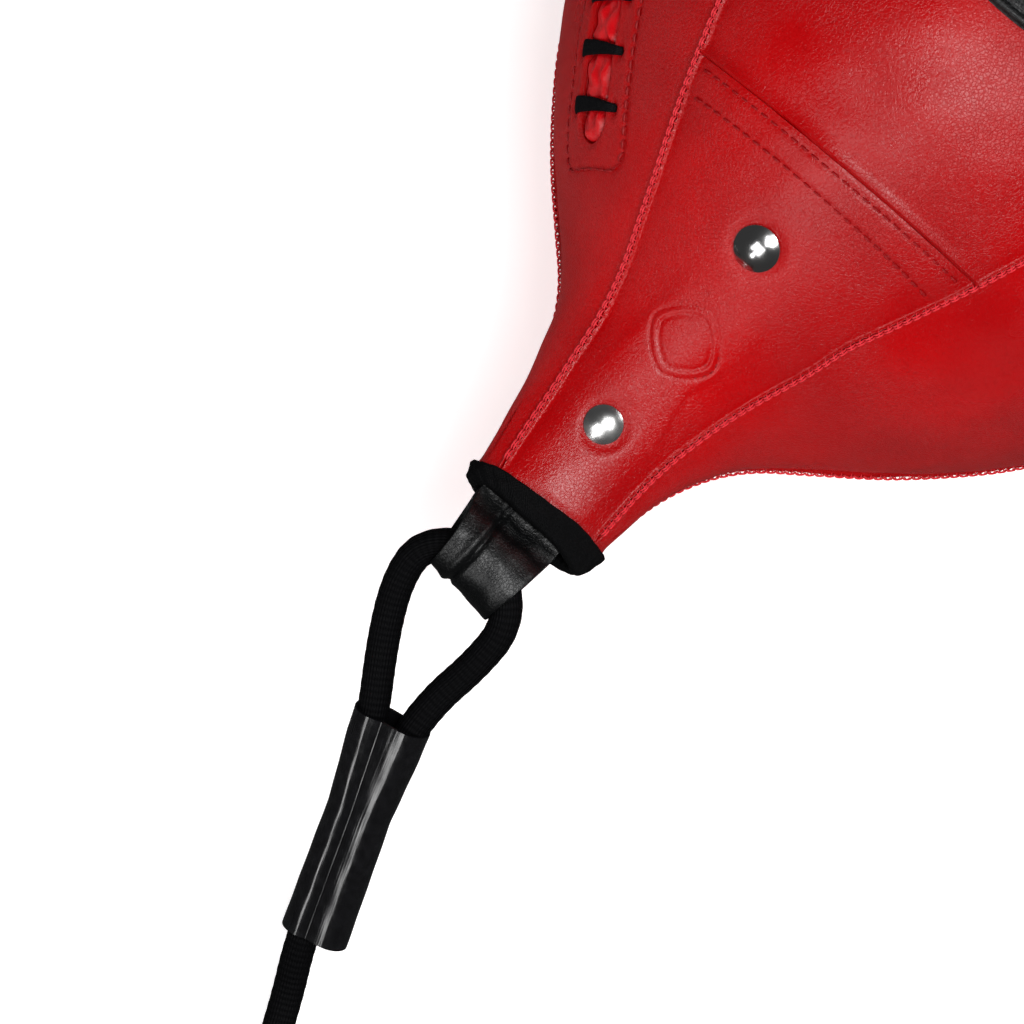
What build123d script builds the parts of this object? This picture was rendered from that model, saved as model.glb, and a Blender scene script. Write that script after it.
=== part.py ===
from build123d import *
import math
import os

# ----------------------------------------------------------------------------------------------
# Double-end striking ball, lying on the floor.  Millimetres, +Z up, floor at Z = 0.
# +X runs along the ball's long axis, away from the neck that carries the cord.
# The origin is on the floor under the ball's middle.
# ----------------------------------------------------------------------------------------------

# ball and necks
BALL_RADIUS = 100.0
LEATHER = 2.0
MOUTH_X = 168.0
AXIS_HEIGHT = BALL_RADIUS
# neck outline: distance from the middle, half width across Y, half height
NECK_OUTLINE = [
    (58.0, 81.5, 81.5),
    (72.0, 70.8, 70.8),
    (84.0, 60.4, 60.4),
    (97.0, 47.4, 47.4),
    (107.0, 37.6, 36.6),
    (116.0, 31.3, 28.8),
    (126.0, 26.8, 22.0),
    (138.0, 23.4, 15.8),
    (150.0, 21.5, 11.4),
    (160.0, 20.3, 8.8),
    (168.0, 19.7, 7.6),
]
SPHERE_END = 58.0
LOFT_STEPS = [0, 20, 38, 52, 64, 74, 84, 94, 104, 114, 126, 138, 150, 160, MOUTH_X]

# panels: seam angles round the axis, degrees from the top towards +Y
BALL_SEAMS = [-31.25, 40.75, 112.75, 184.75, 256.75]
MOUTH_SEAMS = [-57.0, 48.0, 118.0, 184.0, 246.0]
TWIST_START = 90.0
SEAM_GAP = 0.25
CROSS_SEAM_X = 64.0

# lacing
SLIT_ANGLE = 70.0
SLIT_START = -88.0
SLIT_END = 15.0
SLIT_WIDTH = 13.0
PLACKET_MARGIN = 9.0
LACE_COUNT = 9
LACE_MARGIN = 7.0
LACE_WIDTH = 4.0
LACE_SPAN = 26.0
LACE_THICKNESS = 1.0

# binding over the edge of each mouth
BINDING_START = 160.8
BINDING_THICKNESS = 1.6

# patch on the front
PATCH_HALF_X = 15.0
PATCH_HALF_Y = 35.0
PATCH_THICKNESS = 1.4
FRONT_ANGLE = 4.75

# bladder
BLADDER_RADIUS = 94.4
BLADDER_WALL = 1.2
VALVE_X = 2.0
VALVE_RADIUS = 4.0
VALVE_BORE = 0.9
VALVE_INNER_END = 80.0
FLANGE_RADIUS = 9.0
FLANGE_THICKNESS = 1.4

# strap tab
STRAP_THICKNESS = 3.2
STRAP_DROP = 2.15
EYE_X = 184.0
EYE_HEIGHT = AXIS_HEIGHT + 1.7
EYE_RADIUS = 8.1
EYE_WALL = 2.4
EYE_WIDTH = 18.4
TAB_WIDTH = 25.0
EYE_SHIFT_Y = -3.5
TAB_SHIFT_Y = -1.5
TAB_PLATE_END = 156.0
TAB_PLATE_START = 173.0
TAB_SHOULDER_END = 170.0
TAB_SHOULDER_START = 175.0
TAIL_END_X = 82.0
TAIL_END_WIDTH = 20.0

# rivets: distance of each from the middle, angle round the axis, cap radius, post radius
SMALL_RIVET = {"x": 138.3, "angle": 1.3, "cap": 5.1, "post": 1.6}
LARGE_RIVET = {"x": 90.0, "angle": 4.8, "cap": 6.2, "post": 2.0}
WASHER_THICKNESS = 1.0

# cord
CORD = 8.5
FLOOR_GAP = 0.1
CORD_REST = CORD / 2 + FLOOR_GAP
PAIR_GAP = 0.2
PAIR_OFFSET = (CORD + PAIR_GAP) / 2
SLEEVE_WALL = 0.9
SLEEVE_LENGTH = 66.0
RUNNING_GAP = 1.0

# how far cutting tools and half-finished outlines reach past what they cut
BEYOND = 60.0

# coil of the put-away length
COIL_CENTRE = Vector(-366.0, -52.0, 0)
COIL_OUTER_TURN = 46.5
COIL_INNER_TURN = 38.0
COIL_TOP_TURN = 42.25
COIL_TOP_LIFT = 7.4

# sleeve at the near tab: its top end, its direction and the side on which the cord goes on
SLEEVE_TOP = Vector(-219.6, -14.5, 73.5)
SLEEVE_WAY = Vector(-40.4, -24.9, -45.5).normalized()
SLEEVE_SIDE = (Vector(0, 1, 0) - SLEEVE_WAY * SLEEVE_WAY.Y).normalized()
SLEEVE_END = SLEEVE_TOP + SLEEVE_WAY * SLEEVE_LENGTH

# far end of the cord: it leaves the coil's top turn, and its loop holds the snap hook
END_HEADING = 50.0
END_WAY = Vector(math.cos(math.radians(END_HEADING)), math.sin(math.radians(END_HEADING)), 0)
END_SIDE = Vector(-END_WAY.Y, END_WAY.X, 0)
COIL_EXIT = COIL_CENTRE + END_SIDE * COIL_TOP_TURN
FAR_REST = CORD / 2 + SLEEVE_WALL + FLOOR_GAP
FAR_SLEEVE_START = 66.0
FAR_SLEEVE_END = FAR_SLEEVE_START + SLEEVE_LENGTH
FAR_AXIS_SHIFT = PAIR_OFFSET
APEX_HEIGHT = 9.9

# snap hook
RING_TURN = 8.5
RING_ROD = 2.5
HOOK_ROD = 3.0
HOOK_HALF_WIDTH = 9.0
HOOK_REACH = 52.0
HOOK_PITCH = 6.5
STEM_RADIUS = 2.6
BEARING_GAP = 0.06
CORD_IN_RING = 1.1
LOOP_TO_APEX = 47.9
BARREL_RADIUS = 6.5
BARREL_START = 13.0
BARREL_END = 25.5
STEM_END = 22.0
COLLAR_RADIUS = 4.0
COLLAR_START = 20.6
COLLAR_END = 22.6
COLLAR_PLAY = 0.15
SHOULDER_Y = 28.0
SHOULDER_LENGTH = 7.0
BOW_START = 29.0
EAR_Y = 32.5
EAR_WIDTH = 6.6
GATE_PIN_Y = 33.0
GATE_END_Y = 50.5
GATE_THICKNESS = 3.2
GATE_SLOT = 3.4
GATE_LEVER_RADIUS = 2.7
PIN_RADIUS = 1.25

os.makedirs("parts", exist_ok=True)


def save(shape, node):
    """Write one sub-part."""
    export_step(shape, f"parts/{node}.step")


# ----------------------------------------------------------------------------------------------
# the body's outer surface
# ----------------------------------------------------------------------------------------------

def body_size(x):
    """Half width and half height of the cross-section at x."""
    x = abs(x)
    if x <= SPHERE_END:
        radius = math.sqrt(BALL_RADIUS ** 2 - x ** 2)
        return radius, radius
    rows = NECK_OUTLINE
    index = 0
    while index < len(rows) - 2 and x > rows[index + 1][0]:
        index += 1
    low, high = rows[index], rows[index + 1]
    span = high[0] - low[0]
    t = (x - low[0]) / span
    sizes = []
    for column in (1, 2):
        start_slope = outline_slope(index, column) * span
        end_slope = outline_slope(index + 1, column) * span
        value = (2 * t ** 3 - 3 * t ** 2 + 1) * low[column] + (t ** 3 - 2 * t ** 2 + t) * start_slope
        value += (3 * t ** 2 - 2 * t ** 3) * high[column] + (t ** 3 - t ** 2) * end_slope
        sizes.append(value)
    return sizes[0], sizes[1]


def outline_slope(index, column):
    """Slope of the neck outline at one of its points."""
    rows = NECK_OUTLINE
    if index == 0:
        return -SPHERE_END / math.sqrt(BALL_RADIUS ** 2 - SPHERE_END ** 2)
    if index == len(rows) - 1:
        return (rows[-1][column] - rows[-2][column]) / (rows[-1][0] - rows[-2][0])
    before, after = rows[index - 1], rows[index + 1]
    return (after[column] - before[column]) / (after[0] - before[0])


def surface_point(x, angle, offset=0.0):
    """A point on the body's cross-section at x, moved out from the surface by offset."""
    half_width, half_height = body_size(x)
    turn = math.radians(angle)
    y = (half_width + offset) * math.sin(turn)
    z = AXIS_HEIGHT + (half_height + offset) * math.cos(turn)
    return Vector(x, y, z)


def surface_normal(x, angle):
    """Outward normal of the body's surface."""
    step = 0.2
    along = surface_point(x + step, angle) - surface_point(x - step, angle)
    around = surface_point(x, angle + step) - surface_point(x, angle - step)
    return around.cross(along).normalized()


def seam_angle(index, x):
    """Where a long seam runs at x, turning towards its place at the mouth along the neck."""
    turn = 360.0 * (index // len(BALL_SEAMS))
    index = index % len(BALL_SEAMS)
    share = max(0.0, (abs(x) - TWIST_START) / (MOUTH_X - TWIST_START)) ** 0.8
    return BALL_SEAMS[index] + (MOUTH_SEAMS[index] - BALL_SEAMS[index]) * share + turn


def degrees_across(x, length):
    """Angle that a length takes round the cross-section at x."""
    return math.degrees(length / body_size(x)[0])


def band_section(x, low, high, outer, inner):
    """Closed outline of a curved band at x, between two angles and two offsets."""
    steps = [low + (high - low) * i / 8 for i in range(9)]
    top = [surface_point(x, angle, outer) for angle in steps]
    bottom = [surface_point(x, angle, inner) for angle in reversed(steps)]
    edges = [
        Edge.make_spline(top),
        Edge.make_line(top[-1], bottom[0]),
        Edge.make_spline(bottom),
        Edge.make_line(bottom[-1], top[0]),
    ]
    return Wire(edges)


def band(stations, angles, outer, inner):
    """A curved band that follows the body's surface; angles(x) gives its two edges."""
    outlines = []
    for x in stations:
        low, high = angles(x)
        outlines.append(band_section(x, low, high, outer, inner))
    return Solid.make_loft(outlines)


def stations_between(start, end):
    """Loft stations from start to end, with the outline's own stations between."""
    both_sides = sorted({-s for s in LOFT_STEPS} | set(LOFT_STEPS))
    inside = [s for s in both_sides if start + 3 < s < end - 3]
    return [start] + inside + [end]


def full_section(x, offset):
    """Whole oval outline at x."""
    half_width, half_height = body_size(x)
    plane = Plane(origin=(x, 0, AXIS_HEIGHT), x_dir=(0, 1, 0), z_dir=(1, 0, 0))
    return (plane * Ellipse(half_width + offset, half_height + offset)).face().outer_wire()


def mirrored(shape):
    """The same piece at the other neck."""
    return shape.mirror(Plane.YZ)


# ----------------------------------------------------------------------------------------------
# leather panels
# ----------------------------------------------------------------------------------------------

def panel(index, start, end):
    """One leather gore between two long seams."""
    def edges(x):
        gap = degrees_across(x, SEAM_GAP)
        return seam_angle(index, x) + gap, seam_angle(index + 1, x) - gap
    return band(stations_between(start, end), edges, 0.0, -LEATHER)


def slit_cutter(margin):
    """Round-ended prism along the lacing slit, widened by margin."""
    turn = math.radians(SLIT_ANGLE)
    middle = (SLIT_START + SLIT_END) / 2
    plane = Plane(
        origin=(middle, 0, AXIS_HEIGHT),
        x_dir=(1, 0, 0),
        z_dir=(0, math.sin(turn), math.cos(turn)),
    )
    length = SLIT_END - SLIT_START + 2 * margin
    slot = plane.offset(BALL_RADIUS / 4) * SlotOverall(length, SLIT_WIDTH + 2 * margin)
    return extrude(slot, BALL_RADIUS)


def make_panels():
    front_near = panel(0, -MOUTH_X, -CROSS_SEAM_X - SEAM_GAP)
    save(front_near, "front_neck_panel_near")
    save(mirrored(front_near), "front_neck_panel_far")
    save(panel(0, -CROSS_SEAM_X, CROSS_SEAM_X), "front_middle_panel")
    laced = panel(1, -MOUTH_X, MOUTH_X) - slit_cutter(0)
    save(laced, "laced_side_panel")
    save(panel(2, -MOUTH_X, MOUTH_X), "lower_left_panel")
    save(panel(3, -MOUTH_X, MOUTH_X), "lower_right_panel")
    save(panel(4, -MOUTH_X, MOUTH_X), "right_side_panel")


def make_lacing():
    def around_slit(half_width):
        def edges(x):
            half = degrees_across(x, half_width)
            return SLIT_ANGLE - half, SLIT_ANGLE + half
        return edges
    start = SLIT_START - PLACKET_MARGIN
    end = SLIT_END + PLACKET_MARGIN
    half = SLIT_WIDTH / 2 + PLACKET_MARGIN
    stations = stations_between(start, end)
    reinforcement = band(stations, around_slit(half), -LEATHER - 0.1, -LEATHER - 1.1)
    save(reinforcement - slit_cutter(0), "lacing_reinforcement")
    save(band(stations, around_slit(half - 2), -LEATHER - 1.2, -LEATHER - 2.4), "lacing_tongue")

    # the lace: runs across the slit, joined along one side
    first = SLIT_START + LACE_MARGIN
    pitch = (SLIT_END - SLIT_START - 2 * LACE_MARGIN) / (LACE_COUNT - 1)
    half_span = LACE_SPAN / 2

    def rail_edges(x):
        low = SLIT_ANGLE + degrees_across(x, half_span - LACE_WIDTH)
        return low, SLIT_ANGLE + degrees_across(x, half_span - 0.5)
    last = SLIT_END - LACE_MARGIN
    lace = band(stations_between(first, last), rail_edges, LACE_THICKNESS - 0.1, 0.3)
    for i in range(LACE_COUNT):
        middle = first + i * pitch
        sides = [middle - LACE_WIDTH / 2, middle + LACE_WIDTH / 2]
        lace = lace + band(sides, around_slit(half_span), 0.1 + LACE_THICKNESS, 0.1)
    save(lace, "lace")


def make_patch():
    """Oval patch that follows the ball's surface."""
    turn = math.radians(FRONT_ANGLE)
    plane = Plane(
        origin=(0, 0, AXIS_HEIGHT),
        x_dir=(1, 0, 0),
        z_dir=(0, math.sin(turn), math.cos(turn)),
    )
    column = extrude(plane.offset(BEYOND) * Ellipse(PATCH_HALF_X, PATCH_HALF_Y), BEYOND)
    centre = Location((0, 0, AXIS_HEIGHT))
    outer = centre * Sphere(BALL_RADIUS + 0.1 + PATCH_THICKNESS)
    inner = centre * Sphere(BALL_RADIUS + 0.1)
    save((outer - inner) & column, "front_patch")


def make_binding():
    """Binding folded over the edge of the mouth."""
    outside = [-BINDING_START, -MOUTH_X, -MOUTH_X - BINDING_THICKNESS]
    outer = Solid.make_loft([full_section(x, BINDING_THICKNESS + 0.2) for x in outside])
    around_leather = [-BINDING_START + 1, -BINDING_START - 0.5, -MOUTH_X - 0.1]
    hollow = Solid.make_loft([full_section(x, 0.15) for x in around_leather])
    through = [-MOUTH_X + 2, -MOUTH_X - 3]
    mouth = Solid.make_loft([full_section(x, -LEATHER - 0.2) for x in through])
    binding = outer - hollow - mouth
    save(binding, "neck_binding_near")
    save(mirrored(binding), "neck_binding_far")


# ----------------------------------------------------------------------------------------------
# bladder
# ----------------------------------------------------------------------------------------------

def make_bladder():
    centre = Location((0, 0, AXIS_HEIGHT))
    skin = centre * Sphere(BLADDER_RADIUS)
    hollow = centre * Sphere(BLADDER_RADIUS - BLADDER_WALL)
    turn = math.radians(SLIT_ANGLE)
    valve_plane = Plane(
        origin=(VALVE_X, 0, AXIS_HEIGHT),
        x_dir=(1, 0, 0),
        z_dir=(0, math.sin(turn), math.cos(turn)),
    )
    hole_start = valve_plane.offset(VALVE_INNER_END - 10)
    hole = extrude(hole_start * Circle(VALVE_RADIUS + 0.05), BLADDER_RADIUS)
    save(skin - hollow - hole, "bladder")
    inner_end = valve_plane.offset(VALVE_INNER_END)
    stem = extrude(inner_end * Circle(VALVE_RADIUS), BLADDER_RADIUS + 0.6 - VALVE_INNER_END)
    flange_base = BLADDER_RADIUS - BLADDER_WALL - FLANGE_THICKNESS - 1.0
    flange = extrude(valve_plane.offset(flange_base) * Circle(FLANGE_RADIUS), FLANGE_THICKNESS)
    bore = extrude(valve_plane.offset(VALVE_INNER_END + 4) * Circle(VALVE_BORE), 20)
    save(stem + flange - bore, "bladder_valve")


# ----------------------------------------------------------------------------------------------
# strap tabs and rivets
# ----------------------------------------------------------------------------------------------

def make_tab():
    side = Plane(origin=(0, 0, 0), x_dir=(1, 0, 0), z_dir=(0, -1, 0))
    ring = Pos(-EYE_X, EYE_HEIGHT) * Circle(EYE_RADIUS + EYE_WALL)
    fold = Pos(-TAB_PLATE_START, EYE_HEIGHT) * Rectangle(2.0, STRAP_THICKNESS)
    plate_length = TAB_PLATE_START - TAB_PLATE_END
    plate_middle = (TAB_PLATE_START + TAB_PLATE_END) / 2
    plate = Pos(-plate_middle, EYE_HEIGHT) * Rectangle(plate_length, STRAP_THICKNESS)
    outline = make_hull(ring.edges() + fold.edges()) + plate
    outline = outline - Pos(-EYE_X, EYE_HEIGHT) * Circle(EYE_RADIUS)
    thick = extrude(side * outline, TAB_WIDTH, both=True)
    eye_sides = (EYE_SHIFT_Y - EYE_WIDTH / 2, EYE_SHIFT_Y + EYE_WIDTH / 2)
    tab_sides = (TAB_SHIFT_Y - TAB_WIDTH / 2, TAB_SHIFT_Y + TAB_WIDTH / 2)
    beyond_eye = -EYE_X - 2 * EYE_RADIUS
    beyond_plate = -TAB_PLATE_END + 2 * EYE_RADIUS
    plan = Polygon(
        (beyond_eye, eye_sides[0]),
        (-TAB_SHOULDER_START, eye_sides[0]),
        (-TAB_SHOULDER_END, tab_sides[0]),
        (beyond_plate, tab_sides[0]),
        (beyond_plate, tab_sides[1]),
        (-TAB_SHOULDER_END, tab_sides[1]),
        (-TAB_SHOULDER_START, eye_sides[1]),
        (beyond_eye, eye_sides[1]),
        align=None,
    )
    prism = Pos(0, 0, AXIS_HEIGHT - BEYOND) * extrude(plan, 2 * BEYOND)
    eye = thick & prism

    def tail_edges(x):
        share = (abs(x) - TAIL_END_X) / (MOUTH_X - TAIL_END_X)
        width = TAIL_END_WIDTH + (TAB_WIDTH - TAIL_END_WIDTH) * share
        reach = body_size(x)[0] - STRAP_DROP
        low = math.degrees(math.asin((TAB_SHIFT_Y * share - width / 2) / reach))
        high = math.degrees(math.asin((TAB_SHIFT_Y * share + width / 2) / reach))
        return low, high
    stations = stations_between(-162.0, -TAIL_END_X)
    tail = band(stations, tail_edges, -STRAP_DROP, -STRAP_DROP - STRAP_THICKNESS)
    tab = eye + tail
    save(tab, "strap_tab_near")
    save(mirrored(tab), "strap_tab_far")


def rivet_plane(rivet):
    """Plane at the leather's outer surface, its normal pointing out."""
    spot = surface_point(-rivet["x"], rivet["angle"])
    normal = surface_normal(-rivet["x"], rivet["angle"])
    if normal.Z < 0:
        normal = -normal
    return Plane(origin=spot, x_dir=(0, 1, 0), z_dir=normal)


def make_rivet(rivet):
    """Domed cap on its post, and the washer under the strap."""
    cap = rivet["cap"]
    rise = cap * 0.36
    dome_radius = (cap ** 2 + rise ** 2) / (2 * rise)
    dome = Pos(0, 0, 0.5 + rise - dome_radius) * Sphere(dome_radius)
    above = Pos(0, 0, 0.5 + BEYOND / 2) * Box(BEYOND, BEYOND, BEYOND)
    rim = Pos(0, 0, 0.3) * Cylinder(cap, 0.4)
    depth = STRAP_DROP + STRAP_THICKNESS + WASHER_THICKNESS + 0.8
    post = Pos(0, 0, -depth / 2 + 0.2) * Cylinder(rivet["post"], depth + 0.4)
    head = (dome & above) + rim + post
    washer_level = -(STRAP_DROP + STRAP_THICKNESS) - 0.35 - WASHER_THICKNESS / 2
    washer = Pos(0, 0, washer_level) * (
        Cylinder(cap * 0.8, WASHER_THICKNESS) - Cylinder(rivet["post"] + 0.02, 3)
    )
    place = rivet_plane(rivet).location
    return place * head, place * washer


def make_rivets():
    for name, rivet in (("small_rivet", SMALL_RIVET), ("large_rivet", LARGE_RIVET)):
        head, washer = make_rivet(rivet)
        save(Compound([head.solid(), mirrored(head).solid()]), f"{name}s")
        save(Compound([washer.solid(), mirrored(washer).solid()]), f"{name}_washers")


# ----------------------------------------------------------------------------------------------
# cord
# ----------------------------------------------------------------------------------------------

def corner_radii(points):
    """The largest arc each corner of a route allows, and the turn there."""
    radii = []
    for i in range(1, len(points) - 1):
        before = points[i] - points[i - 1]
        after = points[i + 1] - points[i]
        turn = before.get_angle(after)
        shorter = min(before.length, after.length)
        radii.append(0.45 * shorter / math.tan(math.radians(turn) / 2))
    return radii


def tube(points, name):
    """A cord along straight runs joined by tangent arcs."""
    points = [Vector(*p) for p in points]
    radii = corner_radii(points)
    path = FilletPolyline(*points, radius=radii)
    wire = path.wire()
    start = Plane(origin=wire.position_at(0), z_dir=wire.tangent_at(0))
    solid = sweep(start * Circle(CORD / 2), path=wire)
    expected = math.pi * (CORD / 2) ** 2 * wire.length
    print(name, "length", round(wire.length, 1), "volume ratio", round(solid.volume / expected, 4),
          "radii", [round(r, 1) for r in radii])
    return solid


def sleeve(top, way, side):
    """Stadium-section sleeve over two cords side by side."""
    plane = Plane(origin=top, x_dir=side, z_dir=way)
    width = 2 * CORD + PAIR_GAP + 2 * SLEEVE_WALL
    height = CORD + 2 * SLEEVE_WALL
    outer = extrude(plane * SlotOverall(width, height), SLEEVE_LENGTH)
    slot = SlotOverall(width - 2 * SLEEVE_WALL + 0.1, height - 2 * SLEEVE_WALL + 0.1)
    inner = extrude(plane.offset(-1) * slot, SLEEVE_LENGTH + 2)
    return outer - inner


def make_near_loop():
    """The cord's loop through the near tab's eye, and the sleeve that closes it."""
    down = Vector(-math.cos(math.radians(40)), 0, -math.sin(math.radians(40)))
    eye = Vector(-EYE_X, 0, EYE_HEIGHT)

    def spot(along, across):
        return eye + down * along + Vector(0, across, 0)
    tail_side = [
        SLEEVE_END - SLEEVE_WAY * 10 - SLEEVE_SIDE * PAIR_OFFSET,
        SLEEVE_TOP + SLEEVE_WAY * 6 - SLEEVE_SIDE * PAIR_OFFSET,
    ]
    main_side = [
        SLEEVE_TOP + SLEEVE_WAY * 6 + SLEEVE_SIDE * PAIR_OFFSET,
        SLEEVE_END + SLEEVE_SIDE * PAIR_OFFSET,
    ]
    loop = [
        spot(34, -18.6),
        spot(20, -19.6),
        spot(6.3, -18.5),
        spot(-2.5, -9.7),
        spot(-2.5, 2.7),
        spot(6.3, 11.5),
        spot(17.5, 10.0),
        spot(32, 2.0),
    ]
    route = tail_side + loop + main_side
    save(tube(route, "cord_loop_near"), "cord_loop_near")
    save(sleeve(SLEEVE_TOP, SLEEVE_WAY, SLEEVE_SIDE), "sleeve_near")


def make_free_cord():
    """The cord from the near sleeve down to the floor and along it to the coil."""
    start = SLEEVE_END + SLEEVE_WAY * RUNNING_GAP + SLEEVE_SIDE * PAIR_OFFSET
    print("free cord starts", start)
    route = [
        start,
        (-274.0, -44.5, 12.4),
        (-288.6, -55.5, CORD_REST),
        (-305.5, -68.5, CORD_REST),
        (-322.0, -79.5, CORD_REST),
        (-339.0, -89.3, CORD_REST),
    ]
    save(tube(route, "cord_free"), "cord_free")


def make_coil():
    """Outer shape of the coiled cord: two turns on the floor and one lying on them."""
    outer = COIL_OUTER_TURN + CORD / 2
    inner = COIL_INNER_TURN - CORD / 2
    lower = Cylinder(outer, CORD + 0.1, align=(Align.CENTER, Align.CENTER, Align.MIN))
    upper_outer = COIL_TOP_TURN + CORD / 2
    upper_inner = COIL_TOP_TURN - CORD / 2
    upper = Cylinder(upper_outer, CORD_REST + COIL_TOP_LIFT + CORD / 2 - 0.1,
                     align=(Align.CENTER, Align.CENTER, Align.MIN))
    bore_low = Cylinder(inner, BEYOND)
    ring = (lower - bore_low) + (upper - Cylinder(upper_inner, BEYOND))
    save(Pos(COIL_CENTRE.X, COIL_CENTRE.Y, 0.1) * ring, "cord_coil")


def far_spot(along, across, height):
    """A point on the far end's own line, measured from where it leaves the coil."""
    return COIL_EXIT + END_WAY * along + END_SIDE * across + Vector(0, 0, height)


def make_far_end():
    """Run off the coil, far sleeve and the far loop."""
    top = CORD_REST + COIL_TOP_LIFT
    run = [
        far_spot(0, 0, top),
        far_spot(19, 0.4, top - 0.1),
        far_spot(41, 0.1, FAR_REST + 2.0),
        far_spot(FAR_SLEEVE_START - RUNNING_GAP, 0, FAR_REST),
    ]
    save(tube(run, "cord_end_run"), "cord_end_run")
    start = far_spot(FAR_SLEEVE_START, FAR_AXIS_SHIFT, FAR_REST)
    save(sleeve(start, END_WAY, END_SIDE), "sleeve_far")

    def loop_spot(along, across, height):
        return far_spot(FAR_SLEEVE_END + along, FAR_AXIS_SHIFT + across, height)
    half = [
        (-SLEEVE_LENGTH, PAIR_OFFSET, FAR_REST),
        (-3.0, PAIR_OFFSET, FAR_REST),
        (16.0, 12.0, FAR_REST + 1.2),
        (33.0, 14.5, FAR_REST + 2.9),
        (46.5, 8.2, APEX_HEIGHT - 0.3),
    ]
    forward = [loop_spot(a, -c, h) for a, c, h in half]
    back = [loop_spot(a, c, h) for a, c, h in reversed(half)]
    back[-1] = loop_spot(-SLEEVE_LENGTH + 10, PAIR_OFFSET, FAR_REST)
    route = forward + [loop_spot(48.6, 0.0, APEX_HEIGHT)] + back
    save(tube(route, "cord_loop_far"), "cord_loop_far")


# ----------------------------------------------------------------------------------------------
# snap hook, modelled along +Y with its ring round the origin, then laid at the far loop
# ----------------------------------------------------------------------------------------------


def hook_place():
    """Location of the snap hook's own frame."""
    apex = far_spot(FAR_SLEEVE_END + LOOP_TO_APEX, FAR_AXIS_SHIFT, APEX_HEIGHT)
    tilt = math.radians(HOOK_PITCH)
    way = END_WAY * math.cos(tilt) - Vector(0, 0, math.sin(tilt))
    across = END_WAY.cross(Vector(0, 0, 1))
    normal = across.cross(way)
    ring_centre = apex + END_WAY * CORD_IN_RING + Vector(0, 0, 1.2)
    print("loop apex", apex, "ring centre", ring_centre)
    print("swivel axis", way, "swing axis", across, "gate axis", normal)
    frame = Plane(origin=ring_centre, x_dir=across, z_dir=normal)
    print("gate pin", frame.from_local_coords(Vector(HOOK_HALF_WIDTH, GATE_PIN_Y, 0)))
    print("hook bow", frame.from_local_coords(Vector(0, HOOK_REACH, 0)))
    return frame.location


def along_y(radius, start, end, x=0.0):
    """Cylinder along +Y."""
    plane = Plane(origin=(x, start, 0), x_dir=(1, 0, 0), z_dir=(0, 1, 0))
    return extrude(plane * Circle(radius), end - start)


def make_hook():
    place = hook_place()
    ring = Rot(0, 90, 0) * Torus(RING_TURN, RING_ROD)
    stem = along_y(STEM_RADIUS, RING_TURN + 1.0, STEM_END)
    collar = along_y(COLLAR_RADIUS, COLLAR_START, COLLAR_END)
    save(place * (ring + stem + collar), "swivel_eye")

    thickness = 2 * HOOK_ROD + 1.0
    gate_pivot = Pos(HOOK_HALF_WIDTH, GATE_PIN_Y, 0)
    cavity_start = COLLAR_START - COLLAR_PLAY
    barrel = along_y(BARREL_RADIUS, BARREL_START, BARREL_END)
    stem_bore = along_y(STEM_RADIUS + BEARING_GAP, BARREL_START - 1, cavity_start + 0.05)
    cavity = along_y(COLLAR_RADIUS + BEARING_GAP, cavity_start, COLLAR_END + COLLAR_PLAY)
    shoulder_width = 2 * HOOK_HALF_WIDTH + thickness + 0.4
    shoulder = Pos(0, SHOULDER_Y, 0) * Box(shoulder_width, SHOULDER_LENGTH, thickness)
    ears = Pos(HOOK_HALF_WIDTH, EAR_Y, 0) * Box(EAR_WIDTH, 6.0, thickness)
    slot = Pos(HOOK_HALF_WIDTH, EAR_Y + 2, 0) * Box(9.0, 9.0, GATE_SLOT)
    pin_hole = gate_pivot * Cylinder(PIN_RADIUS, 12)
    bow_top = HOOK_REACH + HOOK_HALF_WIDTH
    bow_turn = HOOK_HALF_WIDTH - 0.2
    path = FilletPolyline(
        (-HOOK_HALF_WIDTH, BOW_START, 0),
        (-HOOK_HALF_WIDTH, bow_top, 0),
        (HOOK_HALF_WIDTH, bow_top, 0),
        (HOOK_HALF_WIDTH, GATE_END_Y + 0.5, 0),
        radius=[bow_turn, bow_turn],
    )
    start = Plane(origin=(-HOOK_HALF_WIDTH, BOW_START, 0), z_dir=(0, 1, 0))
    bow = sweep(start * Circle(HOOK_ROD), path=path.wire())
    body = barrel + shoulder + ears + bow
    body = body - stem_bore - cavity - slot - pin_hole
    save(place * body, "hook_body")

    eye_of_gate = gate_pivot * Cylinder(GATE_LEVER_RADIUS, GATE_THICKNESS)
    tongue = Pos(HOOK_HALF_WIDTH, GATE_PIN_Y + 2.6, 0) * Box(4.4, 5.2, GATE_THICKNESS)
    lever = along_y(GATE_LEVER_RADIUS, GATE_PIN_Y + 5, GATE_END_Y, HOOK_HALF_WIDTH)
    gate = eye_of_gate + tongue + lever
    gate = gate - gate_pivot * Cylinder(PIN_RADIUS + BEARING_GAP, 12)
    save(place * gate, "hook_gate")
    save(place * gate_pivot * Cylinder(PIN_RADIUS, thickness), "gate_pin")


make_panels()
make_lacing()
make_patch()
make_binding()
make_bladder()
make_tab()
make_rivets()
make_near_loop()
make_free_cord()
make_coil()
make_far_end()
make_hook()
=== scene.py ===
import math

import bmesh
import bpy
import numpy as np
from mathutils import Matrix, Vector


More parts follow.
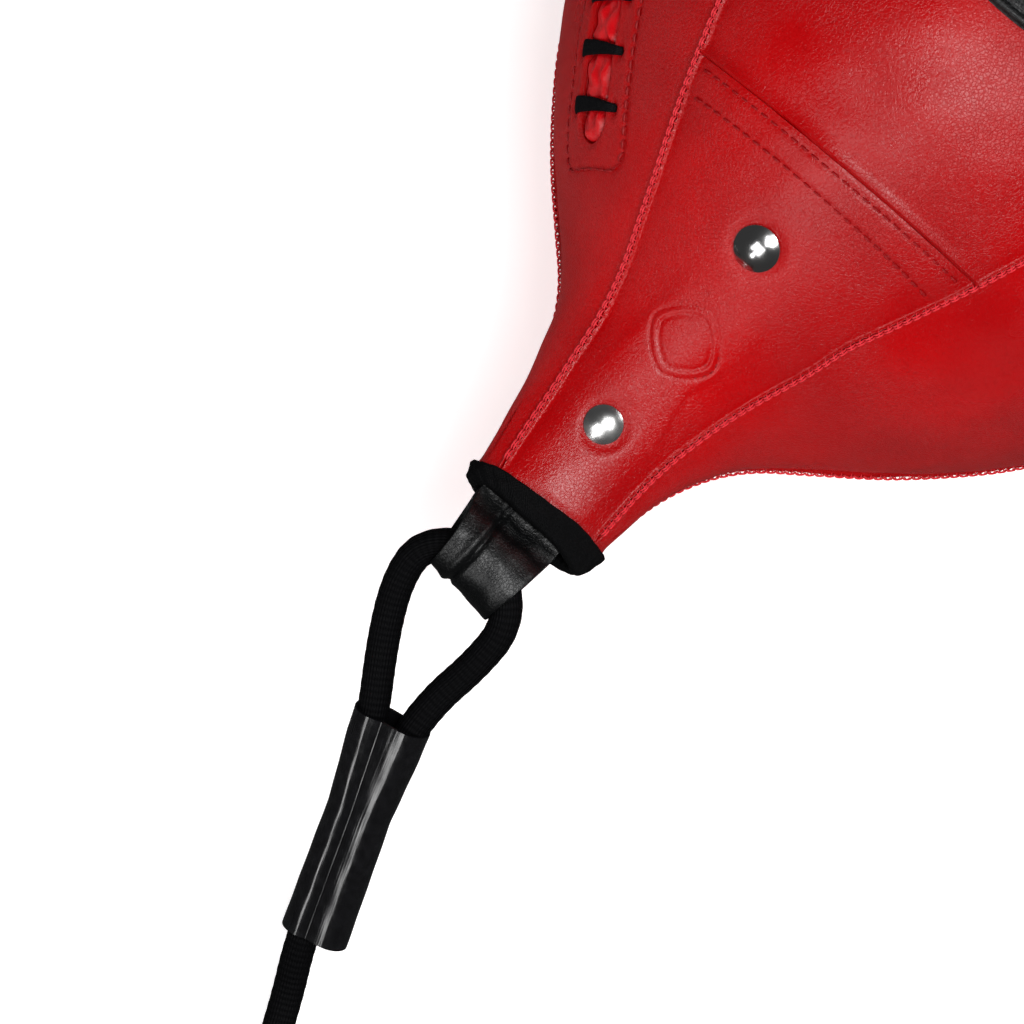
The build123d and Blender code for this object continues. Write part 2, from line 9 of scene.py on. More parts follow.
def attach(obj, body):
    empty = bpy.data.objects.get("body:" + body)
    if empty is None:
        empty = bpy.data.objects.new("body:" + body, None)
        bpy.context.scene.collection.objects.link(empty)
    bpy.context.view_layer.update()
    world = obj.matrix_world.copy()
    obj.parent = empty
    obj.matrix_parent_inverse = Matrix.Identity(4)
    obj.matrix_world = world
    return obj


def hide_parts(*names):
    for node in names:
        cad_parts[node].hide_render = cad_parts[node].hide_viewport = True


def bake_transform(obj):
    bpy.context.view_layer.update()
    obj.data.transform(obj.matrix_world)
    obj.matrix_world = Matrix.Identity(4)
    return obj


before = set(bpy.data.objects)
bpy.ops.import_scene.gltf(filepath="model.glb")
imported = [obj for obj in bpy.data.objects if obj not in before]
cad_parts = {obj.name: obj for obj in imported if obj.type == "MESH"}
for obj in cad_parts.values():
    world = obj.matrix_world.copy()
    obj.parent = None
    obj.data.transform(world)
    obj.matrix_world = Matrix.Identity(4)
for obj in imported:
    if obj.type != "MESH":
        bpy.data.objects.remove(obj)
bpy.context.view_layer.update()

# Double-end striking ball: the looks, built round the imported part.
# Sizes are in millimetres in the part's own frame and turn into metres where a mesh is made.

MM = 0.001

# ball and necks, as in the part; the outline's rows are reach, half width and half height
BALL_RADIUS = 100.0
AXIS_HEIGHT = 100.0
CENTRE = np.array([0.0, 0.0, AXIS_HEIGHT])
LEATHER = 2.0
MOUTH_X = 168.0
SPHERE_END = 58.0
NECK_OUTLINE = np.array([
    (58.0, 81.5, 81.5), (72.0, 70.8, 70.8), (84.0, 60.4, 60.4), (97.0, 47.4, 47.4),
    (107.0, 37.6, 36.6), (116.0, 31.3, 28.8), (126.0, 26.8, 22.0), (138.0, 23.4, 15.8),
    (150.0, 21.5, 11.4), (160.0, 20.3, 8.8), (168.0, 19.7, 7.6),
])
BALL_SEAMS = np.array([-31.25, 40.75, 112.75, 184.75, 256.75])
MOUTH_SEAMS = np.array([-57.0, 48.0, 118.0, 184.0, 246.0])
TWIST_START = 90.0
TWIST_SOFTNESS = 0.0016
TWIST_POWER = 0.8
SEAM_GAP = 0.12
CROSS_SEAM_X = 64.0
CROSS_BOW = (-2.1, -0.065, 0.0017)
CROSS_BOW_REACH = 16.0

# lacing
SLIT_ANGLE = 70.0
SLIT_START = -88.0
SLIT_END = 15.0
SLIT_HALF = 6.5
LACE_COUNT = 9
LACE_MARGIN = 7.0
LACE_HOLE = 9.7
LACE_ROWS = np.linspace(SLIT_START + LACE_MARGIN, SLIT_END - LACE_MARGIN, LACE_COUNT)
OUTLINE_START = -92.5
OUTLINE_END = 19.5
OUTLINE_MIDDLE = (OUTLINE_START + OUTLINE_END) / 2
OUTLINE_HALF_X = (OUTLINE_END - OUTLINE_START) / 2
OUTLINE_HALF = 15.0
OUTLINE_CORNER = 6.0

# neck mouth: the bound edge stands a little askew, further out on the laced side
BINDING_START = 160.8
BINDING_SHORTER = 0.2
BINDING_SLANT = 0.011
MOUTH_SKEW = 0.145
MOUTH_SHIFT_Y = -3.1
MOUTH_NARROWER = 0.035
SKEW_MIDDLE_Y = -2.3
SKEW_START = 128.0
SKEW_POWER = 1.5

# the ball's weight flattens what would reach below the floor
FLOOR_CLEARANCE = 0.05
DEEPEST = 1.2
PRESSED_ZONE = 1.5

# patch on the front
FRONT_ANGLE = 4.75
PATCH_HALF_X = 15.0
PATCH_HALF_Y = 35.0
PATCH_THICKNESS = 1.4
PATCH_OVERHANG = 1.2
PATCH_STITCH_INSET = 2.6

# strap tab
EYE_X = 184.0
EYE_HEIGHT = AXIS_HEIGHT + 1.7
EYE_RADIUS = 8.1
STRAP_DROP = 2.15
TAIL_END_X = 82.0

# rivets: distance from the middle, angle round the axis, cap radius
RIVETS = [(138.3, 1.3, 5.1), (90.0, 4.8, 6.2)]

# cord
CORD = 8.5
CORD_REST = 4.35
PAIR_OFFSET = 4.35
SLEEVE_LENGTH = 66.0
SLEEVE_WALL = 0.75
EXIT_OFFSET = 2.8

# bladder
BLADDER_RADIUS = 94.4
BLADDER_WALL = 1.2
BLADDER_SLACK = 0.3

# stitching
SEAM_PITCH = 2.7
STITCH_PITCH = 3.4
STITCH_LENGTH = 2.5
THREAD_RADIUS = 0.3
CROSS_STITCH_ROWS = (2.4, 10.0)
MOTIF_X = 112.5
MOTIF_ROWS = (10.4, 7.9)
MOTIF_POWER = 1.5

# relief of the leather by the distance from a line: rows of height, middle and reach
SEAM_VALLEY = [(-0.6, 0.0, 6.0), (-0.75, 0.0, 0.16)]
CROSS_SEAM_NECK = [(-0.35, 0.0, 0.7), (-0.5, 2.4, 0.55), (-0.45, 10.0, 0.6)]
CROSS_SEAM_MIDDLE = [(1.0, 1.35, 0.8), (-0.45, 0.0, 0.5), (-0.3, 4.5, 2.5)]
MOTIF_RELIEF = [*((-0.45, row, 0.5) for row in MOTIF_ROWS), (0.2, 9.15, 0.9), (0.25, 0.0, 6.0)]
SLIT_RELIEF = [(-0.5, 0.0, 0.6), (0.2, 1.7, 1.0)]
OUTLINE_RELIEF = [(-0.5, 0.0, 0.45)]
EYELET_RELIEF = [(-1.5, 0.0, 1.5), (0.25, 2.6, 0.8)]
PATCH_RELIEF = [(-1.0, 0.0, 0.6), (0.35, 1.4, 0.9), (-0.45, 2.6, 0.4)]


def unit(v):
    v = np.asarray(v, float)
    return v / np.linalg.norm(v, axis=-1, keepdims=True)


def hump(distance, centre, reach):
    """Smooth bump of height 1."""
    return np.exp(-((distance - centre) / reach) ** 2)


def relief(distance, humps):
    """Sum of smooth bumps, each given by its height, middle and reach."""
    return sum(height * hump(distance, centre, reach) for height, centre, reach in humps)


def step_up(distance, reach):
    """Smooth step from 0 to 1."""
    return 1 / (1 + np.exp(-distance / reach))


def full_turn(count):
    return np.linspace(0, 2 * np.pi, count, endpoint=False)


def wander(points, wavelength, seed, waves=14):
    """A smooth random field of about -1 to 1."""
    rng = np.random.default_rng(seed)
    ways = unit(rng.normal(size=(waves, 3)))
    lengths = wavelength * rng.uniform(0.6, 1.6, waves)
    phases = rng.uniform(0, 2 * np.pi, waves)
    field = np.zeros(points.shape[:-1])
    for way, length, phase in zip(ways, lengths, phases):
        field += np.sin(points @ way * 2 * np.pi / length + phase)
    return field / math.sqrt(waves)


def placed(name, data):
    """A new object in the scene."""
    made = bpy.data.objects.new(name, data)
    bpy.context.scene.collection.objects.link(made)
    return made


# ---- camera, world and lights ----

VIEW_TARGET = Vector((-0.1668, 0.00126, 0.100))
VIEW_ELEVATION = math.radians(70.0)
VIEW_DISTANCE = 3.5
VIEW_WIDTH = 0.2601
SENSOR = 36.0
WORLD_STRENGTH = 0.05
LIGHT_AIM = (-0.08, 0, 0.08)
# name, place, aim, size, power
LIGHTS = [
    ("key", (-0.38, -0.26, 1.6), LIGHT_AIM, (0.7, 0.7), 23),
    ("front_box", (-1.3, 0.05, 0.95), LIGHT_AIM, (0.9, 0.8), 8.0),
    ("sleeve_strip", (-1.42, 0.0, 0.34), (-0.245, -0.025, 0.05), (0.16, 0.3), 1.2),
    ("back_box", (1.1, -0.5, 1.1), LIGHT_AIM, (0.7, 0.4), 6.0),
]


def make_camera():
    """Looks down at the near neck; the ball's axis runs up to the right at 45 degrees."""
    back = Vector((-math.cos(VIEW_ELEVATION), 0, math.sin(VIEW_ELEVATION)))
    along = Vector((math.sin(VIEW_ELEVATION), 0, math.cos(VIEW_ELEVATION)))
    across = Vector((0, -1, 0))
    right = (along + across).normalized()
    up = (along - across).normalized()
    data = bpy.data.cameras.new("camera")
    data.sensor_width = SENSOR
    data.lens = SENSOR * VIEW_DISTANCE / VIEW_WIDTH
    data.clip_end = 50
    camera = placed("camera", data)
    turn = Matrix((right, up, back)).transposed().to_4x4()
    camera.matrix_world = Matrix.Translation(VIEW_TARGET + back * VIEW_DISTANCE) @ turn
    bpy.context.scene.camera = camera


def make_lights():
    world = bpy.data.worlds.new("studio")
    world.use_nodes = True
    shade = world.node_tree.nodes["Background"]
    shade.inputs["Color"].default_value = (1.0, 1.0, 1.0, 1)
    shade.inputs["Strength"].default_value = WORLD_STRENGTH
    bpy.context.scene.world = world
    bpy.context.scene.view_settings.view_transform = "Standard"
    for name, place, aim, size, power in LIGHTS:
        data = bpy.data.lights.new(name, "AREA")
        data.shape = "RECTANGLE"
        data.size, data.size_y = size
        data.energy = power
        light = placed(name, data)
        light.location = place
        direction = Vector(aim) - Vector(place)
        light.rotation_euler = direction.to_track_quat("-Z", "Y").to_euler()


# ---- materials ----

class Shader:
    """Small helper round one material's nodes."""

    def __init__(self, name, base, roughness, **values):
        self.material = bpy.data.materials.new(name)
        self.material.use_nodes = True
        self.tree = self.material.node_tree
        self.bsdf = self.tree.nodes["Principled BSDF"]
        self.set(self.bsdf, "Base Color", (*base, 1))
        self.set(self.bsdf, "Roughness", roughness)
        for socket, value in values.items():
            self.set(self.bsdf, socket.replace("_", " "), value)
        self.material.diffuse_color = (*base, 1)
        self.place = self.add("ShaderNodeTexCoord")["Object"]

    def add(self, kind, inputs=(), **settings):
        """Outputs of a new node with these settings, and a value or a link for each input."""
        node = self.tree.nodes.new(kind)
        for name, value in settings.items():
            setattr(node, name, value)
        for socket, value in dict(inputs).items():
            self.set(node, socket, value)
        return node.outputs

    def set(self, node, socket, value):
        if hasattr(value, "is_linked"):
            self.tree.links.new(value, node.inputs[socket])
        else:
            node.inputs[socket].default_value = value

    def split(self, vector):
        return self.add("ShaderNodeSeparateXYZ", {0: vector})

    def uv(self):
        return self.add("ShaderNodeTexCoord")["UV"]

    def noise(self, scale, detail=2.0, distortion=0.0, vector=None):
        return self.add("ShaderNodeTexNoise", {
            "Vector": vector or self.place, "Scale": scale, "Detail": detail, "Distortion": distortion,
        })["Fac"]

    def cells(self, scale, feature, vector):
        inputs = {"Vector": vector, "Scale": scale}
        return self.add("ShaderNodeTexVoronoi", inputs, feature=feature)["Distance"]

    def math(self, operation, a, b=0.0):
        return self.add("ShaderNodeMath", {0: a, 1: b}, operation=operation)[0]

    def spread(self, value, low, high, to_low=0.0, to_high=1.0):
        return self.add("ShaderNodeMapRange", {
            "Value": value, "From Min": low, "From Max": high, "To Min": to_low, "To Max": to_high,
        })["Result"]

    def mix(self, share, a, b):
        a, b = ((*colour, 1) if isinstance(colour, tuple) else colour for colour in (a, b))
        return self.add("ShaderNodeMix", {"Factor": share, 6: a, 7: b}, data_type="RGBA")[2]

    def colour(self, share, a, b):
        self.set(self.bsdf, "Base Color", self.mix(share, a, b))

    def roughness(self, value, low, high, smooth, rough):
        self.set(self.bsdf, "Roughness", self.spread(value, low, high, smooth, rough))

    def bump(self, height, depth_mm, strength=1.0):
        inputs = {"Height": height, "Distance": depth_mm * MM, "Strength": strength}
        self.set(self.bsdf, "Normal", self.add("ShaderNodeBump", inputs)["Normal"])

    def bent(self, scale, amount_mm):
        """The place, pushed about by a noise, so that cells become worm-like."""
        push = self.add("ShaderNodeTexNoise", {"Vector": self.place, "Scale": scale})["Color"]
        push = {0: push, "Scale": amount_mm * MM}
        push = self.add("ShaderNodeVectorMath", push, operation="SCALE")[0]
        return self.add("ShaderNodeVectorMath", {0: self.place, 1: push}, operation="ADD")[0]


def leather(name, base, deep, grain_mm, roughness, depth_mm, coat):
    """Smooth-finished leather: worm-like grain, pores, stretch creases and patchy gloss."""
    s = Shader(name, base, roughness, Coat_Weight=coat, Coat_Roughness=0.28,
               Specular_IOR_Level=0.27)
    grain_size = grain_mm * MM
    bent = s.bent(0.6 / grain_size, grain_mm * 1.4)
    grain = s.cells(1 / grain_size, "SMOOTH_F1", bent)
    creases = s.cells(0.85 / grain_size, "DISTANCE_TO_EDGE", bent)
    pores = s.noise(2.6 / grain_size, 3.0)
    zones = s.noise(30.0)
    crease_depth = s.math("MULTIPLY", s.spread(creases, 0.0, 0.14),
                          s.spread(zones, 0.35, 0.65, 0.15, 0.55))
    height = s.math("ADD", s.math("MULTIPLY", grain, -0.55), s.math("MULTIPLY", pores, 0.35))
    s.bump(s.math("ADD", height, crease_depth), depth_mm)
    patchy = s.mix(s.spread(s.noise(22.0, 3.0), 0.35, 0.7), base, deep)
    # the grain's valleys are painted darker: painted shade in the crevices
    s.colour(s.spread(grain, 0.45, 0.95, 0.0, 0.35), patchy, tuple(0.62 * value for value in deep))
    s.roughness(zones, 0.3, 0.7, roughness - 0.07, roughness + 0.1)
    return s.material


def woven(name, base, light, thread_mm, roughness):
    """Woven tape: two crossing sets of threads."""
    s = Shader(name, base, roughness, Specular_IOR_Level=0.07)
    x, y, z = s.split(s.place)
    turn = 2 * math.pi / (thread_mm * MM)
    warp = s.math("SINE", s.math("MULTIPLY", x, turn))
    weft = s.math("SINE", s.math("MULTIPLY", s.math("ADD", y, z), turn))
    weave = s.math("MULTIPLY", warp, weft)
    fuzz = s.noise(2500.0)
    s.bump(s.math("ADD", s.math("MULTIPLY", weave, 0.5), fuzz), 0.16)
    s.colour(s.spread(fuzz, 0.3, 0.8), base, light)
    return s.material


def braided(name, base, light, carriers, pitch_mm):
    """Braided sheath in the tube's own UV: along in millimetres, once round in 1."""
    s = Shader(name, base, 0.62, Specular_IOR_Level=0.05)
    u, v, _ = s.split(s.uv())
    along = s.math("MULTIPLY", u, 2 * math.pi / pitch_mm)
    around = s.math("MULTIPLY", v, 2 * math.pi * carriers)
    left = s.math("SINE", s.math("ADD", around, along))
    right = s.math("SINE", s.math("SUBTRACT", around, along))
    braid = s.math("MULTIPLY", left, right)
    fibres = s.noise(3200.0)
    s.bump(s.math("ADD", braid, s.math("MULTIPLY", fibres, 0.5)), 0.14)
    # raised strands painted lighter and the gaps between them darker: painted shade
    s.colour(s.spread(braid, -1.0, 1.0), base, light)
    s.roughness(fibres, 0.3, 0.7, 0.5, 0.75)
    return s.material


def shrunk_plastic(name, base, scuffed):
    """Glossy heat-shrunk tube with fine draw lines along it, in the tube's own UV."""
    s = Shader(name, base, 0.2, Specular_IOR_Level=0.55)
    stretched = s.add("ShaderNodeMapping", {"Vector": s.uv(), "Scale": (0.03, 40.0, 1.0)})["Vector"]
    lines = s.noise(1.0, 3.0, vector=stretched)
    scuffs = s.noise(420.0, 4.0)
    s.bump(lines, 0.05)
    s.roughness(s.math("ADD", lines, scuffs), 0.7, 1.4, 0.10, 0.22)
    s.colour(s.spread(scuffs, 0.4, 0.8), base, scuffed)
    return s.material


def metal(name, base, tarnish, roughness, scratch_mm):
    """Plated metal: fine scratches, haze and a little tarnish."""
    s = Shader(name, base, roughness, Metallic=1.0)
    haze = s.noise(160.0, 4.0)
    s.bump(s.noise(1900.0, 3.0, 1.5), scratch_mm, 0.5)
    s.colour(s.spread(haze, 0.45, 0.75), base, tarnish)
    s.roughness(haze, 0.3, 0.7, roughness * 0.7, roughness * 1.6)
    return s.material


def rubber(name, base, dusty):
    """Dusty moulded rubber."""
    s = Shader(name, base, 0.6)
    s.bump(s.noise(900.0, 3.0), 0.06)
    s.colour(s.spread(s.noise(60.0, 5.0), 0.4, 0.7), base, dusty)
    return s.material


def sewing_thread(name, base, light):
    """Twisted sewing thread."""
    s = Shader(name, base, 0.5, Specular_IOR_Level=0.25)
    twist = s.noise(5200.0, 2.0, 0.6)
    s.bump(twist, 0.08)
    s.colour(s.spread(twist, 0.35, 0.65), base, light)
    return s.material


def paper(name, base, light, glow):
    """Plain matt white paper with the faintest mottle."""
    s = Shader(name, base, 0.9, Specular_IOR_Level=0.1)
    s.colour(s.noise(3.0), base, light)
    s.set(s.bsdf, "Emission Color", (1, 1, 1, 1))
    s.set(s.bsdf, "Emission Strength", glow)
    return s.material


make_camera()
make_lights()

RED_LEATHER = leather("red_leather", (0.40, 0.0, 0.001), (0.31, 0.0, 0.001), 0.8, 0.30, 0.16, 0.08)
# lighter copy of the red leather for the tongue and its ring: painted light, standing in for the light
# that falls on the tongue
TONGUE_LEATHER_PAINTED_LIGHT = leather("tongue_leather_painted_light", (0.58, 0.002, 0.006), (0.46, 0.001, 0.004),
                         0.9, 0.26, 0.12, 0.4)
BLACK_LEATHER = leather("black_leather", (0.002, 0.0022, 0.0024), (0.001, 0.0012, 0.0014),
                        0.8, 0.36, 0.14, 0.08)
BINDING_TAPE = woven("binding_tape", (0.0012, 0.0013, 0.0015), (0.003, 0.003, 0.0034), 0.55, 0.6)
LACE_WEAVE = woven("lace_weave", (0.002, 0.002, 0.0025), (0.007, 0.007, 0.008), 0.7, 0.6)
CORD_BRAID = braided("cord_braid", (0.0008, 0.0008, 0.001), (0.0025, 0.0025, 0.003), 16, 3.4)
SLEEVE_PLASTIC = shrunk_plastic("sleeve_plastic", (0.003, 0.003, 0.0035), (0.006, 0.006, 0.007))
CHROME = metal("rivet_chrome", (0.9, 0.9, 0.89), (0.75, 0.74, 0.72), 0.22, 0.01)
# darker copy of the rivet chrome: painted shade for the large caps' dark reflection
CHROME_PAINTED_SHADE = metal("rivet_chrome_painted_shade", (0.6, 0.6, 0.6), (0.45, 0.44, 0.43), 0.14, 0.01)
WASHER = metal("washer_steel", (0.55, 0.55, 0.55), (0.4, 0.39, 0.37), 0.3, 0.02)
HOOK_STEEL = metal("hook_steel", (0.62, 0.62, 0.62), (0.42, 0.42, 0.41), 0.24, 0.02)
BLADDER_RUBBER = rubber("bladder_rubber", (0.02, 0.02, 0.02), (0.05, 0.05, 0.05))
# red thread whose light, pinkish tone is a painted highlight on the seams' ridges
RED_THREAD_PAINTED_HIGHLIGHT = sewing_thread("red_thread_with_painted_highlight", (0.50, 0.006, 0.012), (0.78, 0.045, 0.06))
# darker copy of the red thread: painted shade of the stitch grooves and holes
THREAD_PAINTED_SHADE = sewing_thread("stitch_thread_painted_shade", (0.16, 0.0, 0.001), (0.34, 0.001, 0.003))
BLACK_THREAD = sewing_thread("black_thread", (0.008, 0.008, 0.008), (0.03, 0.03, 0.03))
FLOOR_PAPER = paper("floor_paper", (0.9, 0.9, 0.9), (0.92, 0.92, 0.92), 0.62)


# ---- mesh making ----

SHARP_ANGLE = math.radians(48)


def new_piece(name, points, faces, material, *nodes, body="root", uv=None):
    """A mesh piece from points in millimetres; it rides on a body and stands for CAD nodes."""
    points = np.asarray(points, float)
    used = np.zeros(len(points), bool)
    used[[index for face in faces for index in face]] = True
    renumbered = np.cumsum(used) - 1
    faces = [[int(renumbered[index]) for index in face] for face in faces]
    mesh = bpy.data.meshes.new(name)
    mesh.from_pydata((points[used] * MM).tolist(), [], faces)
    if uv is not None:
        layer = mesh.uv_layers.new(name="tube")
        layer.data.foreach_set("uv", np.asarray(uv, np.float32).ravel())
    worked = bmesh.new()
    worked.from_mesh(mesh)
    bmesh.ops.recalc_face_normals(worked, faces=worked.faces)
    worked.to_mesh(mesh)
    worked.free()
    mesh.polygons.foreach_set("use_smooth", [True] * len(mesh.polygons))
    mesh.set_sharp_from_angle(angle=SHARP_ANGLE)
    mesh.materials.append(material)
    piece = placed(name, mesh)
    if body:
        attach(piece, body)
    if nodes:
        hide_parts(*nodes)
    return piece


def quad_grid(rows, columns, wrap_rows=False, wrap_columns=False):
    """Quads of a grid of points that are numbered row by row."""
    i, j = np.meshgrid(
        np.arange(rows if wrap_rows else rows - 1),
        np.arange(columns if wrap_columns else columns - 1),
        indexing="ij",
    )
    below, beside = (i + 1) % rows, (j + 1) % columns
    corners = [i * columns + j, below * columns + j, below * columns + beside, i * columns + beside]
    return np.stack(corners, -1).reshape(-1, 4)


def tube_faces(rows, sides):
    """Quads of a tube of points, and its two end caps."""
    cap = np.arange(sides)
    quads = quad_grid(rows, sides, wrap_columns=True)
    return [*quads.tolist(), cap.tolist(), (cap[::-1] + (rows - 1) * sides).tolist()]


def rings_round(line, side, up, beside, above):
    """Rings of points round a line, at these distances along its side and up directions."""
    return line[:, None] + beside[..., None] * side[:, None] + above[..., None] * up[:, None]


def thick_faces(quads, count):
    """Faces of the closed skin between two sheets that share their quads."""
    edges = np.concatenate([quads[:, [k, (k + 1) % 4]] for k in range(4)])
    forward = edges[:, 0] * count + edges[:, 1]
    backward = edges[:, 1] * count + edges[:, 0]
    rim = edges[~np.isin(forward, backward)]
    walls = np.stack([rim[:, 1], rim[:, 0], rim[:, 0] + count, rim[:, 1] + count], 1)
    return np.concatenate([quads, quads[:, ::-1] + count, walls])


def thick_sheet(name, outer, inner, material, *nodes, quads=None):
    """A closed piece between an outer and an inner grid of points."""
    if quads is None:
        quads = quad_grid(*outer.shape[:2])
    points = np.concatenate([outer.reshape(-1, 3), inner.reshape(-1, 3)])
    return new_piece(name, points, thick_faces(quads, len(points) // 2), material, *nodes)


def smoothed(points, rounds=3):
    """Corner cutting that keeps the two ends."""
    points = np.asarray(points, float)
    for _ in range(rounds):
        near = 0.75 * points[:-1] + 0.25 * points[1:]
        far = 0.25 * points[:-1] + 0.75 * points[1:]
        inside = np.stack([near, far], 1).reshape(-1, points.shape[1])
        points = np.concatenate([points[:1], inside, points[-1:]])
    return points


def lengths_along(points):
    steps = np.linalg.norm(np.diff(points, axis=0), axis=-1)
    return np.concatenate([[0.0], np.cumsum(steps)])


def looked_up(wanted, along, values):
    """Points or ways at the wanted lengths along a line."""
    return np.stack([np.interp(wanted, along, values[:, k]) for k in range(3)], 1)


def resampled(points, spacing):
    """The same line in even steps."""
    along = lengths_along(points)
    count = max(2, round(along[-1] / spacing) + 1)
    return looked_up(np.linspace(0, along[-1], count), along, points)


def tangents(points):
    return unit(np.gradient(points, axis=0))


# ---- the body's surface ----

NORMAL_STEP = 0.25


def outline_slopes():
    slopes = np.empty((len(NECK_OUTLINE), 2))
    reach, sizes = NECK_OUTLINE[:, 0], NECK_OUTLINE[:, 1:]
    slopes[0] = -SPHERE_END / math.sqrt(BALL_RADIUS ** 2 - SPHERE_END ** 2)
    slopes[1:-1] = (sizes[2:] - sizes[:-2]) / (reach[2:] - reach[:-2])[:, None]
    slopes[-1] = (sizes[-1] - sizes[-2]) / (reach[-1] - reach[-2])
    return slopes


OUTLINE_SLOPES = outline_slopes()


def body_size(x):
    """Half width and half height of the body's cross-section at x."""
    x = np.abs(np.asarray(x, float))
    row = np.clip(np.searchsorted(NECK_OUTLINE[:, 0], x, side="right") - 1, 0, len(NECK_OUTLINE) - 2)
    low, high = NECK_OUTLINE[row], NECK_OUTLINE[row + 1]
    span = high[..., 0] - low[..., 0]
    t = ((x - low[..., 0]) / span)[..., None]
    ball = np.sqrt(np.maximum(BALL_RADIUS ** 2 - x ** 2, 0.0))[..., None]
    sizes = (2 * t ** 3 - 3 * t ** 2 + 1) * low[..., 1:]
    sizes = sizes + (t ** 3 - 2 * t ** 2 + t) * OUTLINE_SLOPES[row] * span[..., None]
    sizes = sizes + (3 * t ** 2 - 2 * t ** 3) * high[..., 1:]
    sizes = sizes + (t ** 3 - t ** 2) * OUTLINE_SLOPES[row + 1] * span[..., None]
    sizes = np.where((x <= SPHERE_END)[..., None], ball, sizes)
    return sizes[..., 0], sizes[..., 1]


def surface(x, angle):
    """Points on the body; the angle is in degrees from the top towards +Y."""
    x, angle = np.broadcast_arrays(np.asarray(x, float), np.radians(angle))
    half_width, half_height = body_size(x)
    return np.stack([x, half_width * np.sin(angle), AXIS_HEIGHT + half_height * np.cos(angle)], -1)


def surface_normal(x, angle):
    along = surface(x + NORMAL_STEP, angle) - surface(x - NORMAL_STEP, angle)
    around = surface(x, angle + NORMAL_STEP) - surface(x, angle - NORMAL_STEP)
    return unit(np.cross(along, around))


def seam_angle(index, x):
    turned = (np.abs(x) - TWIST_START) / (MOUTH_X - TWIST_START)
    share = (0.5 * (turned + np.sqrt(turned ** 2 + TWIST_SOFTNESS))) ** TWIST_POWER
    ball = BALL_SEAMS[index % 5] + 360.0 * (index // 5)
    mouth = MOUTH_SEAMS[index % 5] + 360.0 * (index // 5)
    return ball + (mouth - ball) * share


def skewed(points):
    """Leans, shifts and narrows the mouth, and presses the underside flat on the floor."""
    reach, y = np.abs(points[..., 0]), points[..., 1] - SKEW_MIDDLE_Y
    share = np.clip((reach - SKEW_START) / (BINDING_START - SKEW_START), 0, 1) ** SKEW_POWER
    bound = np.maximum(reach - BINDING_START, 0.0) * (BINDING_SLANT * y + BINDING_SHORTER)
    moved = points.copy()
    moved[..., 0] += np.sign(points[..., 0]) * (MOUTH_SKEW * y * share - bound)
    moved[..., 1] += (MOUTH_SHIFT_Y - MOUTH_NARROWER * y) * share
    height = moved[..., 2]
    pressed = np.interp(height, [-DEEPEST, PRESSED_ZONE], [FLOOR_CLEARANCE, PRESSED_ZONE])
    moved[..., 2] = np.where(height < PRESSED_ZONE, pressed, height)
    return moved


# ---- leather panels ----

EDGE_COLUMNS = np.array([0.0, 0.14, 0.28, 0.42, 0.58, 0.76, 0.98, 1.3, 1.9, 2.9, 4.4, 6.6])
GORE_STEPS = 240
GATHER = 0.28
ROLL_HEIGHT = 1.05
ROLL_MIDDLE = 0.55
ROLL_REACH = 0.4
SEAM_STAGGER = 1.3
PILLOW_HEIGHT = 0.8
PILLOW_WIDTH = 120.0
OVERLAP_HEIGHT = 0.45
OVERLAP_START = 1.6
OVERLAP_END = 10.6
DENT_MARGIN = 1.1
DENT_DEPTH = 0.25
STRAP_EDGE = np.array([(-157, -11.7), (-135.5, -13.6), (-120, -9.0), (-107, -13.0)])
STRAP_FAR_EDGE = 12.5
STRAP_FADE = -104.0
STRAP_LIFT = 0.6
PLACKET_HEIGHT = 0.35
UNEVENNESS = 0.16
NECK_UNEVENNESS = 0.12
NEAR_EDGE_ROWS = np.array([0, 0.25, 0.5, 0.75])
SLIT_END_ROWS = np.array([0.0, 0.08, 0.3, 0.65, 1.15, 1.8, 2.6])
SLIT_COLUMNS = np.array([0.0, 0.3, 0.65, 1.1, 1.7, 2.4, 3.2, 4.2, 5.4, 6.6, 7.5, 8.2, 8.8, 9.6, 11.0])
SLIT_ROOM = 12.0


def even_rows(start, end, step):
    return np.linspace(start, end, round(abs(end - start) / step) + 1)


def bent_rows(x, angles):
    """The cross seams bow a little towards the necks, and lean."""
    y = surface(x, angles)[..., 1]
    bow = CROSS_BOW[0] + CROSS_BOW[1] * y + CROSS_BOW[2] * y ** 2
    return x - np.sign(x) * bow * hump(np.abs(x), CROSS_SEAM_X, CROSS_BOW_REACH)


